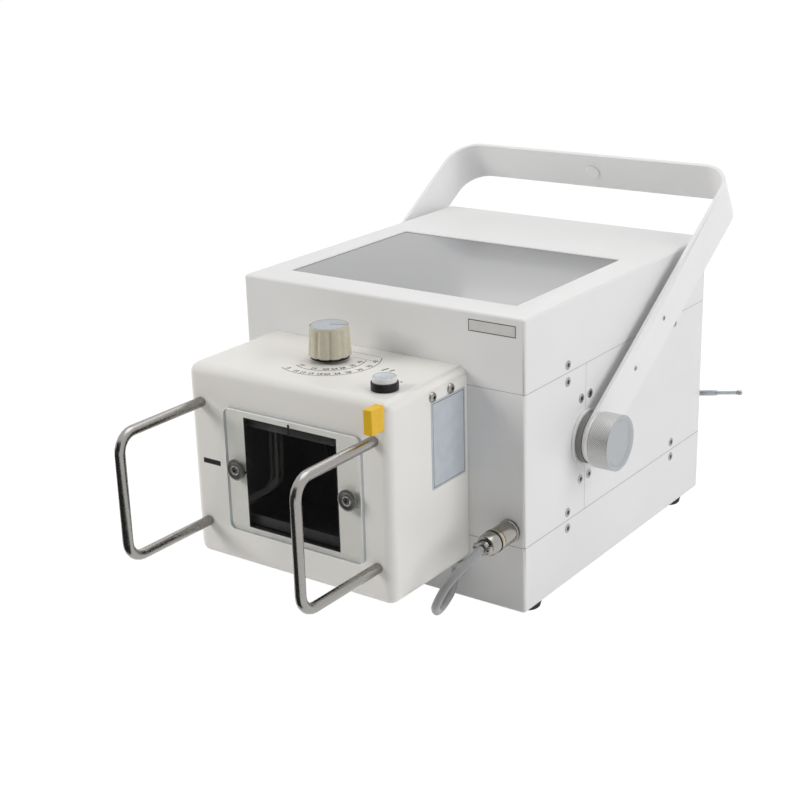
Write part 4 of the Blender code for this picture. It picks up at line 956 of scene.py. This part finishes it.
# radius and distance from the socket in mm, and the finish of the band that ends there
PLUG_STEPS = ((8.5, 0.3, 0), (8.5, 15.4, 0), (7.9, 15.6, 0), (7.9, 16.2, 1), (8.5, 16.4, 0), (8.7, 16.6, 2),
              (8.7, 18.2, 2), (8.9, 18.4, 0), (8.9, 20.2, 0), (7.6, 20.4, 1), (7.6, 21.5, 1), (8.6, 21.6, 0),
              (8.6, 27.6, 0), (7.5, 30.4, 0), (6.0, 31.0, 0), (5.0, 31.2, 1), (5.0, 31.8, 1), (4.9, 32, 0),
              (4.9, 35.8, 0))
bpy.ops.mesh.primitive_circle_add(vertices=48, radius=8.2 * MM, fill_type="NGON")
plug = bpy.context.active_object
edit_faces(plug, lambda face: True)
radius, height = 8.2, 0
for next_radius, next_height, _ in PLUG_STEPS:
    bpy.ops.mesh.extrude_region_move(TRANSFORM_OT_translate={"value": (0, 0, (next_height - height) * MM)})
    grow = next_radius / radius
    bpy.ops.transform.resize(value=(grow, grow, 1), center_override=(0, 0, next_height * MM))
    radius, height = next_radius, next_height
bpy.ops.mesh.select_all(action="SELECT")
bpy.ops.mesh.normals_make_consistent(inside=False)
leave()


def band_finish(face):
    """The finish of the band that a face lies in. Ends that face along the axis stay nickel."""
    level = face.center.z / MM
    number = 0
    for (_, start, _), (_, end, finish_number) in zip(PLUG_STEPS, PLUG_STEPS[1:]):
        if start <= level <= end and abs(face.normal.z) < 0.99:
            number = finish_number
    return number


# The narrow bands take black, painted shade in the plug's grooves
paint_faces(plug, (nickel, ink_and_shade_black, brass), band_finish)

# %% The saddle clamp
saddle = block(Vector((-7.4, -2.6, 31.4)) * MM, Vector((7.4, 2.6, 35.4)) * MM)
bevel_edges(saddle, 0.9 * MM, 3, lambda a, b: True)
saddle.data.materials.append(nickel)
screw = socket_screw(1.7 * MM, 1.0 * MM, 0.4 * MM, 0.8 * MM, 0.6 * MM)
darken_socket(screw, 0.8 * MM, 1.0 * MM, nickel)
saddle_screws = copies_at(screw, [put(side * 5.8 * MM, 0, 35.3 * MM) for side in (-1, 1)])
plug = join_pieces([plug, saddle, saddle_screws])
plug.data.transform(put(plug_axis.x, plug_high.y, plug_axis.z, FACING_FRONT))
settle(plug, "lead_plug", nickel, smooth=28)
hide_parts("cable_plug")
print("plug faces:", len(plug.data.polygons))

# %% [markdown]
# ## Contacts in the sockets on the back
# The power inlet has three flat pins, with the earth pin above the other two. The hand switch's socket
# has four round ones. The flat pins are blocks with bevelled ends, and the round ones are copies of
# one thin cylinder.

# %% Flat and round pins
inlet_low, inlet_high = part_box("power_inlet")
inlet = (inlet_low + inlet_high) / 2
pins = []
for across, rise in ((-7, -2), (7, -2), (0, 2.5)):
    middle = Vector((inlet.x + across * MM, inlet_high.y - 8 * MM, inlet.z + rise * MM))
    half = Vector((1, 6, 2.2)) * MM
    pin = block(middle - half, middle + half)
    edit_faces(pin, lambda face: face.normal.y > 0.9)
    bpy.ops.mesh.bevel(offset=0.5 * MM, segments=1, affect="EDGES")
    leave()
    pins.append(pin)
settle(join_pieces(pins), "inlet_pins", nickel)

socket_low, socket_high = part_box("hand_switch_socket")
socket_middle = (socket_low + socket_high) / 2
contact = cylinder(16, 0.7 * MM, 5 * MM)
edit_faces(contact, lambda face: face.normal.z > 0.9)
bpy.ops.mesh.inset(thickness=0.3 * MM, depth=0.2 * MM)
leave()
contact_places = [put(socket_middle.x + 3 * MM * math.cos(turn), socket_high.y - 6.6 * MM,
                      socket_middle.z + 3 * MM * math.sin(turn), FACING_BACK)
                  for turn in (math.radians(45 + 90 * step) for step in range(4))]
settle(copies_at(contact, contact_places), "switch_contacts", brass)
print("pins:", len(pins), "contacts:", len(contact_places))

# %% [markdown]
# ## The clamp knobs and their knurl
# The knobs are aluminium, with a fine diamond knurl that the fingers grip. A drum is extruded row by
# row, and every second face of its wall is then inset and sunk, like the black squares of a
# chessboard. What stands between the pits is the diamond grid of a knurl. The pits and the groove by
# the flange are painted darker, as painted shade.

# %% A knurled clamp knob
knob_low, knob_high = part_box("clamp_knob_right")
KNOB_RADIUS = (knob_high.z - knob_low.z) / 2
KNOB_END = knob_high.x - SIDE_X
KNURL_COLUMNS = 160
KNURL_ROWS = 18
KNURL_DEPTH = 0.3 * MM
EDGE = 0.4 * MM
DRUM_LENGTH = 16.8 * MM
GROOVE_RADIUS = 19.5 * MM
GROOVE_WIDTH = 0.6 * MM
FLANGE_RADIUS = 20.8 * MM
FLANGE_THICKNESS = 2.2 * MM
STUD_RADIUS = 4 * MM
SEAT = 0.3 * MM
FACE_RADIUS = 18.9 * MM
RIM_WIDTH = 2.4 * MM
SLOPE_WIDTH = 1.8 * MM
DISH_DEPTH = 1.2 * MM


def knurled_knob():
    """A knob along +Z, from the box's side at z = 0."""
    drum_start = KNOB_END - DRUM_LENGTH
    knob = cylinder(KNURL_COLUMNS, KNOB_RADIUS, EDGE, (0, 0, drum_start + EDGE / 2))
    edit_faces(knob, lambda face: face.normal.z > 0.9)
    row = (DRUM_LENGTH - 2 * EDGE) / KNURL_ROWS
    for _ in range(KNURL_ROWS):
        bpy.ops.mesh.extrude_region_move(TRANSFORM_OT_translate={"value": (0, 0, row)})
    bpy.ops.mesh.extrude_region_move(TRANSFORM_OT_translate={"value": (0, 0, EDGE)})
    leave()
    return knob, drum_start, row


def cut_pits(knob, drum_start, row):
    """Inset and sink every second face of the wall."""

    def pitted(face):
        level = math.floor((face.center.z - drum_start - EDGE) / row)
        column = math.floor(math.atan2(face.center.y, face.center.x) / math.tau * KNURL_COLUMNS)
        return abs(face.normal.z) < 0.5 and 0 <= level < KNURL_ROWS and (level + column) % 2 == 0

    edit_faces(knob, pitted)
    bpy.ops.mesh.inset(thickness=0.1 * MM, depth=-KNURL_DEPTH, use_individual=True)
    leave()


def widen_end(old_radius, new_radius, height):
    """Extrude the end face in place and scale it to another radius."""
    bpy.ops.mesh.extrude_region_move(TRANSFORM_OT_translate={"value": (0, 0, 0)})
    grow = new_radius / old_radius
    bpy.ops.transform.resize(value=(grow, grow, 1), center_override=(0, 0, height))


def shape_ends(knob, drum_start):
    """Chamfer both ends, sink the outer face and add the flange and the stud."""
    shrink = (KNOB_RADIUS - EDGE) / KNOB_RADIUS
    for end in (drum_start, KNOB_END):
        edit_faces(knob, lambda face: abs(face.normal.z) > 0.9 and abs(face.center.z - end) < 1e-5)
        bpy.ops.transform.resize(value=(shrink, shrink, 1), center_override=(0, 0, end))
        leave()
    edit_faces(knob, lambda face: face.normal.z > 0.9 and abs(face.center.z - KNOB_END) < 1e-5)
    bpy.ops.mesh.inset(thickness=RIM_WIDTH, depth=0)
    bpy.ops.mesh.inset(thickness=SLOPE_WIDTH, depth=-DISH_DEPTH)
    leave()
    edit_faces(knob, lambda face: face.normal.z < -0.9 and abs(face.center.z - drum_start) < 1e-5)
    bpy.ops.mesh.inset(thickness=KNOB_RADIUS - EDGE - GROOVE_RADIUS, depth=0)
    flange_start = drum_start - GROOVE_WIDTH - FLANGE_THICKNESS
    bpy.ops.mesh.extrude_region_move(TRANSFORM_OT_translate={"value": (0, 0, -GROOVE_WIDTH)})
    widen_end(GROOVE_RADIUS, FLANGE_RADIUS, drum_start - GROOVE_WIDTH)
    bpy.ops.mesh.extrude_region_move(TRANSFORM_OT_translate={"value": (0, 0, -FLANGE_THICKNESS)})
    widen_end(FLANGE_RADIUS, STUD_RADIUS, flange_start)
    bpy.ops.mesh.extrude_region_move(TRANSFORM_OT_translate={"value": (0, 0, SEAT - flange_start)})
    leave()


# %% Both knobs
knob, drum_start, row = knurled_knob()
cut_pits(knob, drum_start, row)
shape_ends(knob, drum_start)
pivot = (knob_low + knob_high) / 2
left_knob = knob.copy()
left_knob.data = knob.data.copy()
bpy.context.scene.collection.objects.link(left_knob)


def knob_part(face):
    """0 on the turned face, 1 on the knurl and the flange, 2 in the pits and the groove, which are darker as
    painted shade.
    """
    reach = math.hypot(face.center.x, face.center.y)
    along = face.center.z - drum_start
    wall = abs(face.normal.z) < 0.5
    pit = wall and EDGE < along < DRUM_LENGTH - EDGE and reach < KNOB_RADIUS - 0.9 * KNURL_DEPTH
    groove = wall and -GROOVE_WIDTH < along < 0
    turned = along > DRUM_LENGTH - 1.3 * EDGE or reach < FACE_RADIUS
    return 2 if pit or groove else 0 if turned else 1


for piece, side, facing, word in ((knob, 1, FACING_RIGHT, "right"), (left_knob, -1, FACING_LEFT, "left")):
    paint_faces(piece, (turned_aluminium, knurled_aluminium, pit_shade), knob_part)
    piece.data.transform(put(side * SIDE_X, pivot.y, pivot.z, facing))
    settle(piece, f"knurled_knob_{word}", knurled_aluminium, smooth=12)
    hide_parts(f"clamp_knob_{word}")
print("knob faces:", len(knob.data.polygons))

# %% [markdown]
# ## The window's screws
# Two button heads with a cup washer hold the window. The washer is a dished ring: a cylinder whose top
# is inset and pushed down. The head stands in the dish, and has the same hexagon socket as the others.

# %% Cup washers and heads on the window
WASHER_RADIUS = 8.3 * MM
washer = cylinder(48, WASHER_RADIUS, 1.5 * MM, (0, 0, 1.05 * MM))
edit_faces(washer, lambda face: face.normal.z > 0.9)
bpy.ops.mesh.inset(thickness=1.1 * MM, depth=0.6 * MM)
bpy.ops.mesh.inset(thickness=0.5 * MM, depth=0)
bpy.ops.mesh.inset(thickness=2.4 * MM, depth=-0.9 * MM)
leave()
head = socket_screw(3.9 * MM, 1.9 * MM, 1.3 * MM, 1.0 * MM, 1.0 * MM)
darken_socket(head, 1.0 * MM, 1.9 * MM, screw_steel)
head.data.transform(Matrix.Translation((0, 0, 1.5 * MM)))
washer.data.materials.append(dark_steel)
window_screw = join_pieces([washer, head])
WINDOW_SCREWS = ((-57.6, 111.8), (46.5, 110.4))
window_screw_places = [put(x_mm * MM, SHEET_LOW.y, z_mm * MM, FACING_FRONT)
                       for x_mm, z_mm in WINDOW_SCREWS]
window_screws = copies_at(window_screw, window_screw_places)
settle(window_screws, "window_screws", dark_steel)
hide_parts("window_screw_left", "window_screw_right")
print("window screws made")

# %% [markdown]
# ## The room
# The photograph is a cut-out on pure white. The world looks white to the camera, to mirrors and
# through glass, and lights the object at a plain level. The floor is almost white too, and keeps a
# faint shadow. Large soft lamps stand at the right, above, in front and behind. Two of them aren't seen
# in mirrors, because from the far side the lid and the screen would mirror them as white.

# %% The world
AMBIENT = 0.14
world = bpy.data.worlds.new("studio")
bpy.context.scene.world = world
world.use_nodes = True
world_tree = world.node_tree
plain_light = world_tree.nodes["Background"]
plain_light.inputs["Color"].default_value = (1, 1, 1, 1)
plain_light.inputs["Strength"].default_value = AMBIENT
white_view = world_tree.nodes.new("ShaderNodeBackground")
white_view.inputs["Color"].default_value = (1, 1, 1, 1)
white_view.inputs["Strength"].default_value = 1


def seen_directly(tree):
    """1 for camera, glossy and transmission rays, 0 for the rest."""
    path = tree.nodes.new("ShaderNodeLightPath")
    first = tree.nodes.new("ShaderNodeMath")
    first.operation = "MAXIMUM"
    second = tree.nodes.new("ShaderNodeMath")
    second.operation = "MAXIMUM"
    tree.links.new(path.outputs["Is Camera Ray"], first.inputs[0])
    tree.links.new(path.outputs["Is Glossy Ray"], first.inputs[1])
    tree.links.new(first.outputs["Value"], second.inputs[0])
    tree.links.new(path.outputs["Is Transmission Ray"], second.inputs[1])
    return second.outputs["Value"]


world_mix = world_tree.nodes.new("ShaderNodeMixShader")
world_tree.links.new(seen_directly(world_tree), world_mix.inputs["Fac"])
world_tree.links.new(plain_light.outputs["Background"], world_mix.inputs[1])
world_tree.links.new(white_view.outputs["Background"], world_mix.inputs[2])
world_tree.links.new(world_mix.outputs["Shader"], world_tree.nodes["World Output"].inputs["Surface"])
print("world made")

# %% The floor
FLOOR_SIZE = 12
SHADOW_SHARE = 0.12
FLOOR_GLOW = 1.12
floor_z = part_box("foot_front_left")[0].z
bpy.ops.mesh.primitive_plane_add(size=FLOOR_SIZE, location=(0, 0, floor_z))
floor = bpy.context.active_object
floor.name = "floor"
floor_finish, floor_tree, floor_shader = new_finish("pale floor", (0.8, 0.8, 0.8), 0.9)
floor_glow = floor_tree.nodes.new("ShaderNodeEmission")
floor_glow.inputs["Strength"].default_value = FLOOR_GLOW
floor_share = floor_tree.nodes.new("ShaderNodeMath")
floor_share.operation = "MULTIPLY"
floor_share.inputs[1].default_value = 1 - SHADOW_SHARE
floor_mix = floor_tree.nodes.new("ShaderNodeMixShader")
floor_tree.links.new(seen_directly(floor_tree), floor_share.inputs[0])
floor_tree.links.new(floor_share.outputs["Value"], floor_mix.inputs["Fac"])
floor_tree.links.new(floor_shader.outputs["BSDF"], floor_mix.inputs[1])
floor_tree.links.new(floor_glow.outputs["Emission"], floor_mix.inputs[2])
floor_tree.links.new(floor_mix.outputs["Shader"], floor_tree.nodes["Material Output"].inputs["Surface"])
floor.data.materials.append(floor_finish)
print("floor made")


# %% Dark cards that only metal and glass see
def dark_card(name, corners):
    """A dark sheet, seen by glossy rays alone. It gives metal its dark bands."""
    sheet = bpy.data.meshes.new(name)
    sheet.from_pydata(corners, [], [(0, 1, 2, 3)])
    card = bpy.data.objects.new(name, sheet)
    bpy.context.scene.collection.objects.link(card)
    card.visible_camera = False
    card.visible_diffuse = False
    card.visible_transmission = False
    card.visible_shadow = False
    card.visible_volume_scatter = False
    sheet.materials.append(card_finish)


card_finish = new_finish("dark card", (0.02, 0.02, 0.022), 0.9)[0]
dark_card("front card", [(-3.2, -2.4, 0), (1.7, -2.4, 0), (1.7, -2.4, 1.9), (-3.2, -2.4, 1.9)])
dark_card("front floor card", [(-3.2, -2.4, -0.007), (0.5, -2.4, -0.007), (0.1, -0.36, -0.007),
                               (-1.6, -0.36, -0.007)])
print("cards made")


# %% The lamps
MACHINE_MIDDLE = Vector((0, 0, 0.12))


def soft_lamp(name, place, size, watts, colour=(1, 1, 1)):
    """A square soft box that looks at the middle of the machine."""
    lamp_data = bpy.data.lights.new(name, "AREA")
    lamp_data.shape = "SQUARE"
    lamp_data.size = size
    lamp_data.energy = watts
    lamp_data.color = colour
    lamp = bpy.data.objects.new(name, lamp_data)
    lamp.location = place
    aim = MACHINE_MIDDLE - lamp.location
    lamp.rotation_euler = aim.to_track_quat("-Z", "Y").to_euler()
    bpy.context.scene.collection.objects.link(lamp)
    return lamp


right_lamp = soft_lamp("right lamp", Vector((2.0, 0.2, 0.9)), 1.6, 22)
right_lamp.visible_glossy = False
soft_lamp("top lamp", Vector((0.2, 0.3, 2.2)), 1.8, 18)
front_lamp = soft_lamp("front left lamp", Vector((-1.7, -1.6, 1.3)), 1.2, 32, (1, 0.98, 0.955))
front_lamp.visible_glossy = False
soft_lamp("back lamp", Vector((-0.6, 1.9, 1.5)), 1.4, 5)
print("lamps made")
